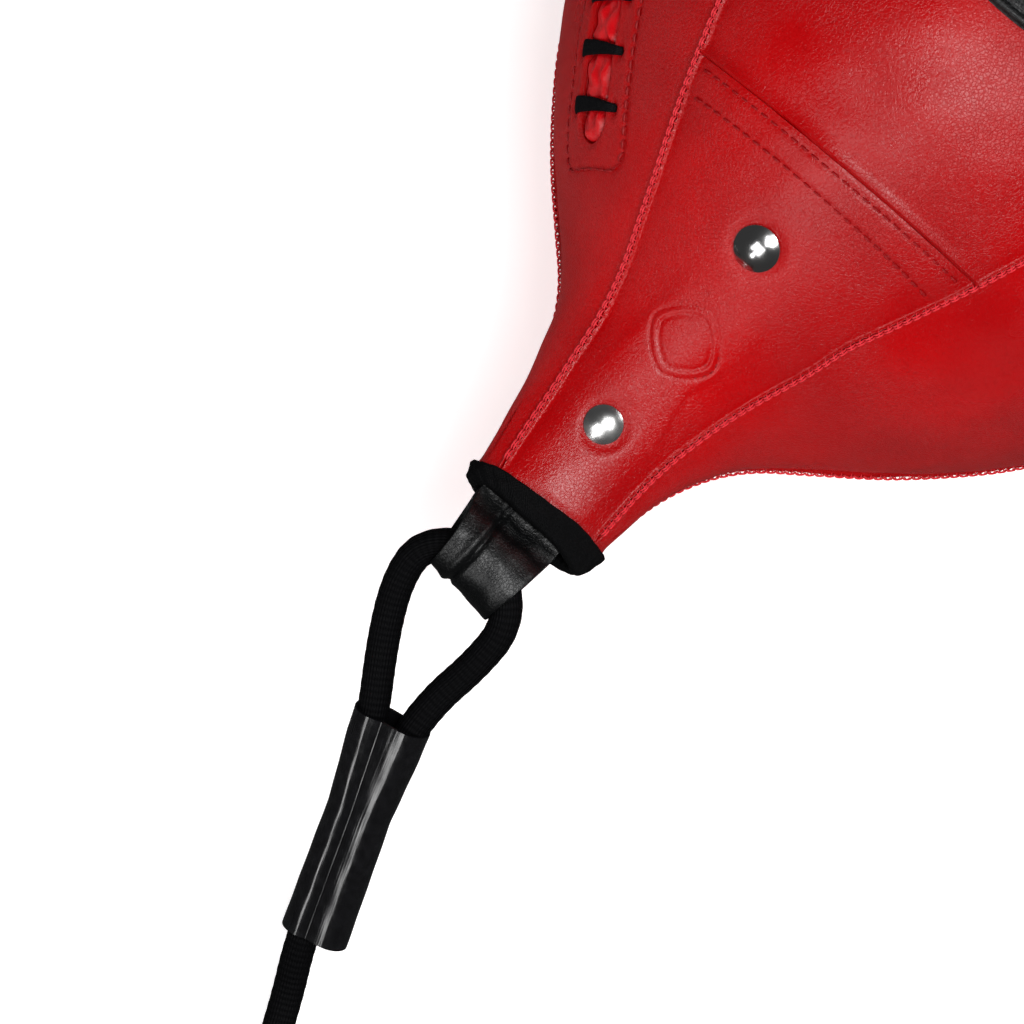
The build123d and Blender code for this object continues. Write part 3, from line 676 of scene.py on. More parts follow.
class Gore:
    """A leather panel between two long seams, measured in millimetres on its own surface."""

    def __init__(self, index, rows):
        self.x = rows
        low, high = seam_angle(index, rows), seam_angle(index + 1, rows)
        self.turns = low[:, None] + (high - low)[:, None] * np.linspace(0, 1, GORE_STEPS + 1)
        points = surface(rows[:, None], self.turns)
        steps = np.linalg.norm(np.diff(points, axis=1), axis=-1)
        self.lengths = np.concatenate([np.zeros((len(rows), 1)), np.cumsum(steps, 1)], 1)
        self.width = self.lengths[:, -1]
        self.low_along, self.along, self.high_along = (
            lengths_along(points[:, column]) for column in (0, GORE_STEPS // 2, -1))

    def row_at(self, x):
        return int(np.argmin(np.abs(self.x - x)))

    def grid(self, across, bowed=False):
        """Places along the axis, angles and points of these distances from the low seam."""
        angles = np.stack([np.interp(a, length, turn)
                           for a, length, turn in zip(across, self.lengths, self.turns)])
        x = np.broadcast_to(self.x[:, None], across.shape)
        if bowed:
            x = bent_rows(x, angles)
        return x, angles, surface(x, angles)

    def columns(self, count):
        """Columns of a whole panel: close together at both seams."""
        low = np.broadcast_to(EDGE_COLUMNS + SEAM_GAP, (len(self.x), len(EDGE_COLUMNS)))
        high = self.width[:, None] - low[:, ::-1]
        return np.concatenate([low, between(low[:, -1], high[:, 0], count), high], 1)

    def relief(self, across):
        """Both long seams, and the pillowing between them."""
        width = self.width[:, None]
        low = seam_roll(across, self.low_along[:, None])
        high = seam_roll(width - across, self.high_along[:, None] + SEAM_STAGGER)
        return low + high + pillow(across, width)


def between(low, high, count):
    """Columns evenly spread between two edges, ends left out; edges are given for each row."""
    share = np.linspace(0, 1, count + 2)[1:-1]
    return low[:, None] + (high - low)[:, None] * share


def seam_roll(distance, along):
    """Leather beside a long seam: a broad valley, a gathered rolled edge, and the gap."""
    gather = 1 - GATHER + GATHER * np.cos(2 * np.pi * along / SEAM_PITCH)
    roll = ROLL_HEIGHT * gather * hump(distance, ROLL_MIDDLE, ROLL_REACH)
    return roll + relief(distance, SEAM_VALLEY)


def pillow(across, width):
    return PILLOW_HEIGHT * np.sin(np.pi * across / width) * np.clip(width / PILLOW_WIDTH, 0, 1)


def make_panel(node, x, angles, height, quads=None):
    """One closed panel, whose outside stands height above the body's surface."""
    # under the binding it lies flat
    height = height * (1 - step_up(np.abs(x) - BINDING_START + 1.0, 0.5))
    base, normal = surface(x, angles), surface_normal(x, angles)
    outer = base + normal * height[..., None]
    inner = base + normal * (np.minimum(height, 0.0) - LEATHER)[..., None]
    thick_sheet(f"leather_{node}", skewed(outer), skewed(inner), RED_LEATHER, node, quads=quads)


def make_side_panel(index, node):
    gore = Gore(index, even_rows(-MOUTH_X, MOUTH_X, 0.95))
    across = gore.columns(34)
    x, angles, points = gore.grid(across)
    make_panel(node, x, angles, gore.relief(across) + UNEVENNESS * wander(points, 22, index))


def pressed_by_rivets(height, points, side):
    """Leather pulled down under and round the rivets' caps."""
    for reach, angle, cap in RIVETS:
        distance = np.linalg.norm(points - surface(side * reach, angle), axis=-1)
        under = 1 - step_up(distance - cap - DENT_MARGIN, 0.55)
        height = height * (1 - under) - DENT_DEPTH * under
    return height


def strap_imprint(points):
    """The strap under the leather shows as a low raised band."""
    reach, y = -np.abs(points[..., 0]), points[..., 1]
    edge = np.interp(reach, STRAP_EDGE[:, 0], STRAP_EDGE[:, 1])
    inside = step_up(y - edge, 0.45) - step_up(y - STRAP_FAR_EDGE, 0.7)
    return STRAP_LIFT * inside * step_up(STRAP_FADE - reach, 2.5)


def motif_radius(along, across):
    """Size of the rounded diamond that passes through a point."""
    return (np.abs(along) ** MOTIF_POWER + np.abs(across) ** MOTIF_POWER) ** (1 / MOTIF_POWER)


def make_front_neck(side, node, with_motif):
    gore = Gore(0, even_rows(side * MOUTH_X, side * (CROSS_SEAM_X + SEAM_GAP), 0.55))
    across = gore.columns(84)
    x, angles, points = gore.grid(across, bowed=True)
    from_cross = (gore.along[-1] - gore.along)[:, None]
    height = gore.relief(across) + NECK_UNEVENNESS * wander(points, 18, 11)
    overlap = step_up(from_cross - OVERLAP_START, 0.3) - step_up(from_cross - OVERLAP_END, 0.5)
    height += relief(from_cross, CROSS_SEAM_NECK) + OVERLAP_HEIGHT * overlap
    height = pressed_by_rivets(height + strap_imprint(points), points, side)
    if with_motif:
        middle = np.interp(-MOTIF_X, gore.x, gore.along)
        radius = motif_radius(gore.along[:, None] - middle, across - gore.width[:, None] / 2)
        height += relief(radius, MOTIF_RELIEF)
    make_panel(node, x, angles, height)
    return gore


def make_front_middle():
    rows = even_rows(-CROSS_SEAM_X, CROSS_SEAM_X, 0.9)
    rows = [rows[:1] + NEAR_EDGE_ROWS, rows[1:-1], rows[-1:] - NEAR_EDGE_ROWS[::-1]]
    gore = Gore(0, np.concatenate(rows))
    across = gore.columns(90)
    x, angles, points = gore.grid(across, bowed=True)
    from_cross = np.minimum(gore.along, gore.along[-1] - gore.along)[:, None]
    height = gore.relief(across) + UNEVENNESS * wander(points, 24, 5)
    make_panel("front_middle_panel", x, angles, height + relief(from_cross, CROSS_SEAM_MIDDLE))


def slit_distance(x, across):
    """Distance from the slit's rounded edge."""
    outside = np.maximum(np.maximum(SLIT_START + SLIT_HALF - x, x - SLIT_END + SLIT_HALF), 0.0)
    return np.hypot(outside, across) - SLIT_HALF


def outline_distance(x, across):
    """Distance from the stitched outline round the lacing, a rounded rectangle."""
    u = np.maximum(np.abs(x - OUTLINE_MIDDLE) - OUTLINE_HALF_X + OUTLINE_CORNER, 0.0)
    v = np.maximum(np.abs(across) - OUTLINE_HALF + OUTLINE_CORNER, 0.0)
    return np.hypot(u, v) - OUTLINE_CORNER


def lacing_relief(x, across):
    """Leather round the lacing: rolled slit edge, raised placket, sewn groove and eyelets."""
    edge, outline = slit_distance(x, across), outline_distance(x, across)
    height = relief(edge, SLIT_RELIEF) + relief(outline, OUTLINE_RELIEF)
    height += PLACKET_HEIGHT * (1 - step_up(outline + 0.8, 0.3))
    for row in LACE_ROWS:
        for hole in (-LACE_HOLE, LACE_HOLE):
            height += relief(np.hypot(x - row, across - hole), EYELET_RELIEF)
    return height


def make_laced_panel():
    """Two bands, one each side of the slit, that share their edge beyond its ends."""
    rows = even_rows(-MOUTH_X, MOUTH_X, 0.9)
    fine = np.concatenate([SLIT_START + SLIT_END_ROWS, SLIT_END - SLIT_END_ROWS])
    near_end = (rows > SLIT_START - 0.3) & (rows < SLIT_START + SLIT_END_ROWS[-1])
    near_end |= (rows > SLIT_END - SLIT_END_ROWS[-1]) & (rows < SLIT_END + 0.3)
    kept = (np.abs(rows[:, None] - fine).min(1) > 0.4) & ~near_end
    rows = np.sort(np.concatenate([rows[kept], fine]))
    gore = Gore(1, rows)
    slit = np.array([np.interp(SLIT_ANGLE, turn, length)
                     for length, turn in zip(gore.lengths, gore.turns)])
    past = np.clip(np.minimum(rows - SLIT_START, SLIT_END - rows) / SLIT_HALF, 0, 1)
    half = SLIT_HALF * np.sqrt(1 - (1 - past) ** 2)
    low_edge, high_edge = slit - half, slit + half
    low_seam = np.broadcast_to(EDGE_COLUMNS + SEAM_GAP, (len(rows), len(EDGE_COLUMNS)))
    high_seam = gore.width[:, None] - low_seam[:, ::-1]
    # near the mouth the panel is narrow, so the slit's own columns close up there
    room_low = np.clip((low_edge - low_seam[:, -1] - 1.0) / SLIT_ROOM, 0.02, 1.0)[:, None]
    room_high = np.clip((high_seam[:, 0] - high_edge - 1.0) / SLIT_ROOM, 0.02, 1.0)[:, None]
    low_slit = low_edge[:, None] - SLIT_COLUMNS[::-1] * room_low
    high_slit = high_edge[:, None] + SLIT_COLUMNS * room_high
    low_band = [low_seam, between(low_seam[:, -1], low_slit[:, 0], 14), low_slit]
    high_band = [high_slit, between(high_slit[:, -1], high_seam[:, 0], 16), high_seam]
    across = np.concatenate(low_band + high_band, 1)
    x, angles, points = gore.grid(across)
    height = gore.relief(across) + UNEVENNESS * wander(points, 22, 1)
    height += lacing_relief(x, across - slit[:, None])
    # beyond the slit's ends the two bands share the points of their edge
    low_count = sum(columns.shape[1] for columns in low_band)
    numbers = np.arange(across.size).reshape(across.shape)
    closed = half < 1e-9
    numbers[closed, low_count] = numbers[closed, low_count - 1]
    quads = quad_grid(*across.shape)
    in_the_slit = quads[:, 0] % across.shape[1] == low_count - 1
    quads = numbers.ravel()[quads[~in_the_slit]]
    make_panel("laced_side_panel", x, angles, height, quads)


# ---- stitches ----

STITCH_SHARE = np.array([-0.5, -0.44, -0.3, -0.1, 0.1, 0.3, 0.44, 0.5])
STITCH_TURN = full_turn(6)
STITCH_FACES = tube_faces(len(STITCH_SHARE), len(STITCH_TURN))
STITCH_POINTS = len(STITCH_SHARE) * len(STITCH_TURN)
STITCH_DIP = 0.75
SEAM_BAR = 1.8
SEAM_BAR_LEAN = 0.35
SEAM_BAR_RADIUS = 0.22
SEAM_RUN = SEAM_PITCH * 0.98
SEAM_RUN_OFFSET = 0.36
SEAM_RUN_RADIUS = 0.24
STITCHED_REACH = 158.0


def stitch(line, normals, radius):
    """Points of one stitch along a short line; its ends go down into the leather."""
    along = tangents(line)
    side = unit(np.cross(along, normals))
    thickness = radius * np.sqrt(np.maximum(1 - (2 * STITCH_SHARE) ** 6, 0.12))[:, None]
    rings = rings_round(line, side, np.cross(side, along), thickness * np.cos(STITCH_TURN),
                        thickness * np.sin(STITCH_TURN))
    return rings.reshape(-1, 3)


def stitch_row(points, normals, pitch, length, lift):
    """A running stitch along a line on the leather."""
    along = lengths_along(points)
    count = int(along[-1] // pitch)
    start = (along[-1] - (count - 1) * pitch) / 2
    dip = lift - STITCH_DIP * np.abs(2 * STITCH_SHARE) ** 4
    stitches = []
    for k in range(count):
        at = start + k * pitch + STITCH_SHARE * length
        normal = unit(looked_up(at, along, normals))
        line = looked_up(at, along, points) + normal * dip[:, None]
        stitches.append(stitch(line, normal, THREAD_RADIUS))
    return stitches


def sew(name, stitches, material):
    """One piece of many stitches."""
    faces = [[index + k * STITCH_POINTS for index in face]
             for k in range(len(stitches)) for face in STITCH_FACES]
    new_piece(name, skewed(np.concatenate(stitches)), faces, material)


def make_seam_stitches(index):
    """Short stitches across a long seam, and two lines along it, drawn over the rolled edges."""
    def on_seam(x):
        return surface(x, seam_angle(index, x))

    x = np.linspace(-STITCHED_REACH, STITCHED_REACH, 900)
    along = lengths_along(on_seam(x))
    bar_heights = 0.75 - 1.0 * np.abs(2 * STITCH_SHARE) ** 5
    run_heights = 0.85 - 0.7 * np.abs(2 * STITCH_SHARE) ** 4
    stitches = []
    for at in np.arange(SEAM_PITCH / 2, along[-1], SEAM_PITCH):
        where = np.interp(at, along, x)
        middle, normal = on_seam(where), surface_normal(where, seam_angle(index, where))
        forward = unit(on_seam(where + 0.5) - middle)
        beside = unit(np.cross(normal, forward))
        normals = np.broadcast_to(normal, (len(STITCH_SHARE), 3))
        across = (beside + forward * SEAM_BAR_LEAN) * (STITCH_SHARE * SEAM_BAR)[:, None]
        bar = middle + across + normal * bar_heights[:, None]
        stitches.append(stitch(bar, normals, SEAM_BAR_RADIUS))
        for offset in (-SEAM_RUN_OFFSET, SEAM_RUN_OFFSET):
            run = middle + forward * (STITCH_SHARE * SEAM_RUN)[:, None]
            run = run + beside * offset + normal * run_heights[:, None]
            stitches.append(stitch(run, normals, SEAM_RUN_RADIUS))
    # the seam thread's light, pinkish tone is a painted highlight
    sew(f"seam_stitches_{index + 1}", stitches, RED_THREAD_PAINTED_HIGHLIGHT)


def make_cross_stitches(gore, name):
    """Two stitch rows beside the cross seam."""
    stitches = []
    for distance in CROSS_STITCH_ROWS:
        x = np.interp(gore.along[-1] - distance, gore.along, gore.x)
        row = gore.row_at(x)
        spread = np.linspace(2.8, gore.width[row] - 2.8, 160)
        angles = np.interp(spread, gore.lengths[row], gore.turns[row])
        x = bent_rows(np.full(len(angles), x), angles)
        normals = surface_normal(x, angles)
        points = surface(x, angles) + normals * pillow(spread, gore.width[row])[:, None]
        stitches += stitch_row(points, normals, STITCH_PITCH, STITCH_LENGTH, 0.35)
    # the darker thread colour is painted shade
    sew(name, stitches, THREAD_PAINTED_SHADE)


def make_motif_stitches(gore):
    """Double-stitched rounded diamond on the front neck panel."""
    stitches = []
    middle = np.interp(-MOTIF_X, gore.x, gore.along)
    turn = np.linspace(0, 2 * np.pi, 240)
    for size in MOTIF_ROWS:
        radius = size / motif_radius(np.cos(turn), np.sin(turn))
        x = np.interp(middle + radius * np.cos(turn), gore.along, gore.x)
        rows = [gore.row_at(place) for place in x]
        angles = np.array([np.interp(gore.width[row] / 2 + across, gore.lengths[row], gore.turns[row])
                           for row, across in zip(rows, radius * np.sin(turn))])
        stitches += stitch_row(surface(x, angles), surface_normal(x, angles), 2.3, 1.7, 0.2)
    # the darker thread colour is painted shade
    sew("motif_stitches", stitches, THREAD_PAINTED_SHADE)


def slit_angle(x, across):
    """Angle of a point at a distance across the slit."""
    return SLIT_ANGLE + np.degrees(across / body_size(x)[0])


def make_outline_stitches():
    """Stitch row round the lacing."""
    outline = []
    for sx, sy, start in ((1, 1, 0), (-1, 1, 90), (-1, -1, 180), (1, -1, 270)):
        for turn in np.radians(np.linspace(start, start + 90, 10)):
            outline.append((
                OUTLINE_MIDDLE + sx * (OUTLINE_HALF_X - OUTLINE_CORNER) + OUTLINE_CORNER * math.cos(turn),
                sy * (OUTLINE_HALF - OUTLINE_CORNER) + OUTLINE_CORNER * math.sin(turn),
                0.0,
            ))
    x, across, _ = resampled(np.array([*outline, outline[0]]), 1.0).T
    angles = slit_angle(x, across)
    normals = surface_normal(x, angles)
    points = surface(x, angles) + normals * pillow(across + 60, 125.0)[:, None]
    stitches = stitch_row(points, normals, STITCH_PITCH, STITCH_LENGTH, -0.05)
    # the darker thread colour is painted shade
    sew("lacing_outline_stitches", stitches, THREAD_PAINTED_SHADE)


# ---- lacing ----

TONGUE_HALF = 13.5
TONGUE_MARGIN = 7
TONGUE_DEPTH = -2.9
TONGUE_SWELL = 3.9
TONGUE_THICKNESS = 1.1
RING_SIDES = 160
RING_WIDTH = 8.0
RING_DEPTH = -2.3
RING_THICKNESS = 0.9
LACE_SIDES = 14
LACE_THICKNESS = 0.5
# one crossing of the lace: across the slit, off the leather, and along the ball's axis
LACE_CROSSING = [
    (-LACE_HOLE, -2.4, 0), (-LACE_HOLE, 0.0, 0), (-LACE_HOLE + 1.8, 1.5, 0), (0.0, 1.0, 0.4),
    (LACE_HOLE - 1.8, 1.7, 0.6), (LACE_HOLE, 0.2, 0.6), (LACE_HOLE, -2.4, 0.6),
]


def round_slit(x, across, offset):
    """Points near the slit, by distance along the ball's axis, across the slit and outwards."""
    angles = slit_angle(x, across)
    return surface(x, angles) + surface_normal(x, angles) * np.asarray(offset)[..., None]


def make_tongue():
    """Soft leather that swells up between the laces."""
    rows = np.linspace(SLIT_START - TONGUE_MARGIN, SLIT_END + TONGUE_MARGIN, 300)
    x, c = np.meshgrid(rows, np.linspace(-TONGUE_HALF, TONGUE_HALF, 61), indexing="ij")
    pressed = sum(hump(x, row, 2.4) for row in LACE_ROWS)
    from_middle = np.clip(slit_distance(x, c) / SLIT_HALF + 1.0, 0, 1)
    swell = np.sqrt(1 - from_middle ** 6)
    folds = 0.45 * wander(surface(x, SLIT_ANGLE + c), 5, 3)
    folds += 0.3 * np.sin(c * 1.3 + 0.5 * np.sin(0.4 * x))
    offset = TONGUE_DEPTH + swell * (TONGUE_SWELL - 1.5 * np.clip(pressed, 0, 1) + folds)
    outer, inner = round_slit(x, c, offset), round_slit(x, c, offset - TONGUE_THICKNESS)
    # the tongue's lighter leather colour is painted light
    thick_sheet("lacing_tongue_leather", outer, inner, TONGUE_LEATHER_PAINTED_LIGHT, "lacing_tongue")


def make_reinforcement():
    """Leather ring between the panel and the tongue, its hole as wide as the slit."""
    turn = full_turn(RING_SIDES)
    middle, straight = (SLIT_START + SLIT_END) / 2, (SLIT_END - SLIT_START) / 2 - SLIT_HALF
    shares = np.linspace(0, 1, 12)[:, None]
    radius = SLIT_HALF + 0.4 + shares * RING_WIDTH
    x = middle + straight * np.clip(np.cos(turn) * 6, -1, 1) + radius * np.cos(turn)
    c = radius * np.sin(turn)
    offset = RING_DEPTH - 0.3 * (0.25 - 0.3 * np.cos(shares * np.pi)) * np.ones(RING_SIDES)
    outer, inner = round_slit(x, c, offset), round_slit(x, c, offset - RING_THICKNESS)
    # the ring has the same lighter leather colour, painted light
    thick_sheet("lacing_reinforcement_leather", outer, inner, TONGUE_LEATHER_PAINTED_LIGHT,
                "lacing_reinforcement", quads=quad_grid(*x.shape, wrap_columns=True))


def make_lace():
    """One flat lace: across the slit, down an eyelet, and under the leather to the next."""
    control = [(row + lean, c, offset) for row in LACE_ROWS for c, offset, lean in LACE_CROSSING]
    x, c, offset = smoothed(control).T
    line = round_slit(x, c, offset)
    even = resampled(line, 0.8)
    along, wanted = lengths_along(line), lengths_along(even)
    c, offset = np.interp(wanted, along, c), np.interp(wanted, along, offset)
    normal = surface_normal(even[:, 0], slit_angle(even[:, 0], c))
    way = tangents(even)
    side = unit(np.cross(way, normal) + 1e-6)
    forward = np.where(side[:, :1] < 0, -side, side)
    up = unit(np.cross(forward, way))
    up = np.where(np.sum(up * normal, 1)[:, None] < 0, -up, up)
    share = np.clip((c + LACE_HOLE) / (2 * LACE_HOLE), 0, 1)
    width = np.where(offset < -0.5, 2.0, 2.2 + 2.6 * share ** 0.8)
    turn = full_turn(LACE_SIDES)
    flat = np.sign(np.cos(turn)) * np.abs(np.cos(turn)) ** 0.6
    thick = np.sign(np.sin(turn)) * np.abs(np.sin(turn)) ** 0.8
    rings = rings_round(even, forward, up, flat * width[:, None] / 2,
                        np.tile(thick * LACE_THICKNESS, (len(even), 1)))
    new_piece("lace_cord", rings.reshape(-1, 3), tube_faces(len(even), LACE_SIDES), LACE_WEAVE, "lace")


# ---- patch, binding, strap tabs, bladder ----

BINDING_SIDES = 150
PATCH_BULGE = 0.75
PATCH_BOTTOM = 0.3
PATCH_STITCH_LIFT = 1.9
BINDING_SECTION = [
    (0.0, 0.12), (0.0, 0.85), (1.0, 1.2), (3.0, 1.15), (4.6, 1.35), (7.2, 1.3), (8.4, 0.8), (8.8, -0.6),
    (8.4, -2.2), (7.2, -2.9), (4.5, -2.9), (2.6, -2.8), (2.6, -2.2), (5.0, -2.15), (7.4, -2.0),
    (7.8, -0.6), (7.4, 0.12), (3.0, 0.12),
]
# the strap by its reach from the middle: width, middle line's Y, and thickness
TAB_WIDTHS = ([TAIL_END_X, 160, 170, 180, 194], [20.0, 25.0, 26.4, 23.5, 19.6])
TAB_MIDDLES = ([TAIL_END_X, 150, 170, 186], [0.0, -1.5, -1.7, -3.2])
TAB_THICKNESS = ([150.0, 170.0], [3.0, 1.9])
TAB_EDGE_ROUND = ([0.46, 0.492, 0.5], [1.0, 0.85, 0.45])
TAB_COLUMNS = np.array([-0.5, -0.492, -0.47, *np.linspace(-0.44, 0.44, 37), 0.47, 0.492, 0.5])
TAB_TIP = 194.0
TAB_TAIL_START = 159.0
TAB_COVERED = 158.0
TAB_BARE = 160.0
TAB_INSET = 4.0
TAB_LOOP = np.radians(np.linspace(62, 296, 15))
TAB_LOOP_RADIUS = (EYE_RADIUS + 0.5) * 1.03


def make_patch():
    """Plain oval leather patch with a turned, stitched edge."""
    turn = math.radians(FRONT_ANGLE)
    out = np.array([0, math.sin(turn), math.cos(turn)])
    beside = np.array([0, math.cos(turn), -math.sin(turn)])

    def on_ball(x, y):
        height = np.sqrt(BALL_RADIUS ** 2 - x ** 2 - y ** 2)
        ways = x[..., None] * np.array([1.0, 0, 0]) + y[..., None] * beside + height[..., None] * out
        return unit(ways)

    steps = np.linspace(-1, 1, 111)
    steps = np.sign(steps) * (1 - (1 - np.abs(steps)) ** 1.25)
    u, v = np.meshgrid(steps, steps, indexing="ij")
    disc_x, disc_y = u * np.sqrt(1 - v ** 2 / 2), v * np.sqrt(1 - u ** 2 / 2)
    way = on_ball((PATCH_HALF_X + PATCH_OVERHANG) * disc_x, (PATCH_HALF_Y + PATCH_OVERHANG) * disc_y)
    inside = (1 - np.hypot(disc_x, disc_y)) * PATCH_HALF_X
    top = PATCH_THICKNESS + PATCH_BULGE + relief(inside, PATCH_RELIEF)
    outer = CENTRE + way * (BALL_RADIUS + top)[..., None]
    inner = CENTRE + way * (BALL_RADIUS + PATCH_BOTTOM)
    thick_sheet("front_patch_leather", outer, inner, BLACK_LEATHER, "front_patch")
    around = np.linspace(0, 2 * np.pi, 400)
    share = 1 - PATCH_STITCH_INSET / PATCH_HALF_X
    way = on_ball(share * PATCH_HALF_X * np.cos(around), share * PATCH_HALF_Y * np.sin(around))
    points = CENTRE + way * (BALL_RADIUS + PATCH_STITCH_LIFT)
    stitches = stitch_row(points, way, STITCH_PITCH, STITCH_LENGTH, 0.15)
    sew("patch_stitches", stitches, BLACK_THREAD)


def make_binding(side, node):
    """Tape folded over the mouth's edge."""
    turn = full_turn(BINDING_SIDES)
    rings = []
    for axial, radial in smoothed(BINDING_SECTION + BINDING_SECTION[:1], 2)[1:-1]:
        x = BINDING_START + axial
        half_width, half_height = body_size(min(x, MOUTH_X))
        end_bump = 0.5 * np.abs(np.sin(turn)) ** 20 * (radial > 0)
        crinkle = 0.14 * np.sin(turn * 23 + axial) + 0.12 * np.sin(turn * 9 - axial * 0.7)
        reach = radial + end_bump + crinkle
        y = (half_width + reach) * np.sin(turn) * (1 - 0.008 * axial)
        z = AXIS_HEIGHT + (half_height + reach) * np.cos(turn)
        rings.append(np.stack([side * (x + 0.25 * np.sin(turn * 5 + 1.0)), y, z], 1))
    quads = quad_grid(len(rings), BINDING_SIDES, wrap_rows=True, wrap_columns=True)
    new_piece(f"{node}_tape", skewed(np.array(rings)).reshape(-1, 3), quads, BINDING_TAPE, node)


def make_tab(side, node):
    """Doubled strap: a riveted tail under the leather, then the eye for the cord, then back in."""
    path = [(x, AXIS_HEIGHT + float(body_size(x)[1]) - STRAP_DROP - 1.6)
            for x in np.arange(-TAIL_END_X, -TAB_TAIL_START, -4.0)]
    path += [(-167.0, EYE_HEIGHT + 1.6), (-173.0, EYE_HEIGHT + 2.6)]
    eye = np.array([1.6 - EYE_X, EYE_HEIGHT])
    path += [eye + TAB_LOOP_RADIUS * np.array([math.cos(turn), math.sin(turn)]) for turn in TAB_LOOP]
    path += [(-173.0, EYE_HEIGHT - 2.0), (-166.0, EYE_HEIGHT - 1.2), (-158.0, EYE_HEIGHT - 1.2)]
    path = smoothed(path)
    line = resampled(np.stack([path[:, 0], np.zeros(len(path)), path[:, 1]], 1), 0.9)
    way = tangents(line)
    up = np.stack([way[:, 2], np.zeros(len(way)), -way[:, 0]], 1)
    reach = -line[:, 0]
    width = np.interp(reach, *TAB_WIDTHS)[:, None]
    across = width * TAB_COLUMNS
    points = np.repeat(line[:, None], len(TAB_COLUMNS), 1)
    points[..., 1] = across + np.interp(reach, *TAB_MIDDLES)[:, None]
    # under the leather the tail follows the neck's roundness
    size_y, size_z = body_size(np.minimum(reach, MOUTH_X))
    beside = np.clip(points[..., 1] / (size_y[:, None] - TAB_INSET), -0.99, 0.99)
    under_leather = (1 - step_up(reach - TAB_COVERED, 2.0))[:, None]
    points[..., 2] -= (size_z[:, None] - TAB_INSET) * (1 - np.sqrt(1 - beside ** 2)) * under_leather
    bulge = 0.5 * (across / (width / 2)) ** 2 * hump(reach, TAB_TIP, 7.0)[:, None]
    groove = 0.8 * hump(across, 3.6, 0.75) * step_up(reach[:, None] - 167, 2.0)
    bulge = bulge - groove + 0.35 * hump(across, 5.4, 1.1) + 0.25 * wander(points, 9, 7)
    bulge = bulge * step_up(reach[:, None] - TAB_BARE, 2.0)
    half = np.interp(reach, *TAB_THICKNESS)[:, None] / 2 * np.interp(np.abs(TAB_COLUMNS), *TAB_EDGE_ROUND)
    outer = points + up[:, None] * (half + bulge)[..., None]
    inner = points - up[:, None] * (half - bulge * 0.6)[..., None]
    for sheet in (outer, inner):
        sheet[..., 0] *= -side
    thick_sheet(f"{node}_strap", outer, inner, BLACK_LEATHER, node)


def make_bladder():
    """Rubber bladder with its moulding rib."""
    polar, turn = np.linspace(0.6, 179.4, 120), np.linspace(0, 360, 160, endpoint=False)
    p, t = np.meshgrid(np.radians(polar), np.radians(turn), indexing="ij")
    way = np.stack([np.cos(p), np.sin(p) * np.sin(t), np.sin(p) * np.cos(t)], -1)
    valve = np.array([0, math.sin(math.radians(SLIT_ANGLE)), math.cos(math.radians(SLIT_ANGLE))])
    seat = 1.2 * hump(np.degrees(np.arccos(np.clip(way @ valve, -1, 1))), 0, 4.5)
    radius = BLADDER_RADIUS - BLADDER_SLACK - seat
    outer = CENTRE + way * (radius + 0.25 * hump(np.degrees(p), 90, 0.9))[..., None]
    inner = CENTRE + way * (radius - BLADDER_WALL)[..., None]
    quads = quad_grid(*p.shape, wrap_columns=True)
    thick_sheet("bladder_shell", outer, inner, BLADDER_RUBBER, "bladder", quads=quads)


# ---- cord ----

CORD_SIDES = 30
BRAID_HEIGHT = 0.09
BRAID_CARRIERS = 8
BRAID_PITCH = 7.0

SLEEVE_TOP = np.array([-219.6, -14.5, 73.5])
SLEEVE_WAY = unit([-40.4, -24.9, -45.5])
SLEEVE_SIDE = unit(np.array([0.0, 1.0, 0.0]) - SLEEVE_WAY * SLEEVE_WAY[1])
SLEEVE_END = SLEEVE_TOP + SLEEVE_WAY * SLEEVE_LENGTH
NEAR_WIDTHS = ([0.0, 0.12, 0.42, 0.6, 1.0], [20.9, 20.3, 17.2, 17.5, 18.0])
FAR_WIDTHS = ([0.0, 0.5, 0.86, 1.0], [18.4, 17.8, 19.6, 20.8])
SLEEVE_RINGS = 60
CREASE = 0.3
CREASE_DEPTH = 0.75
SLEEVE_OVER_CORD = 0.85
WAIST_DEPTH = 0.25
WAIST_AT = 0.42
WAIST_REACH = 0.2
LOOP_SLOPE = math.radians(40)

# coil of the put-away length: two turns on the floor, side by side, and one lying on them
COIL_CENTRE = np.array([-366.0, -52.0, 0.0])
COIL_OUTER = 46.5
COIL_INNER = 38.0
COIL_TOP = 42.25
COIL_TOP_LIFT = 7.4
COIL_START_ANGLE = -53.0
COIL_END_ANGLE = 140.0
COIL_TURNED = COIL_START_ANGLE - COIL_END_ANGLE + 360 * 4
COIL_RADII = ([0, 400, 480, 840, 930], [COIL_OUTER, COIL_OUTER, COIL_INNER, COIL_INNER, COIL_TOP])
CLIMB_START = 840
CLIMB_TURN = 80
POINTS_PER_TURN = 18

# far end of the cord, measured from where it leaves the coil
END_HEADING = math.radians(50.0)
END_WAY = np.array([math.cos(END_HEADING), math.sin(END_HEADING), 0.0])
END_SIDE = np.array([-END_WAY[1], END_WAY[0], 0.0])
COIL_EXIT = COIL_CENTRE + END_SIDE * COIL_TOP
FAR_REST = CORD / 2 + 1.0
FAR_SLEEVE_START = 66.0
FAR_SLEEVE_END = FAR_SLEEVE_START + SLEEVE_LENGTH
APEX_HEIGHT = 9.9


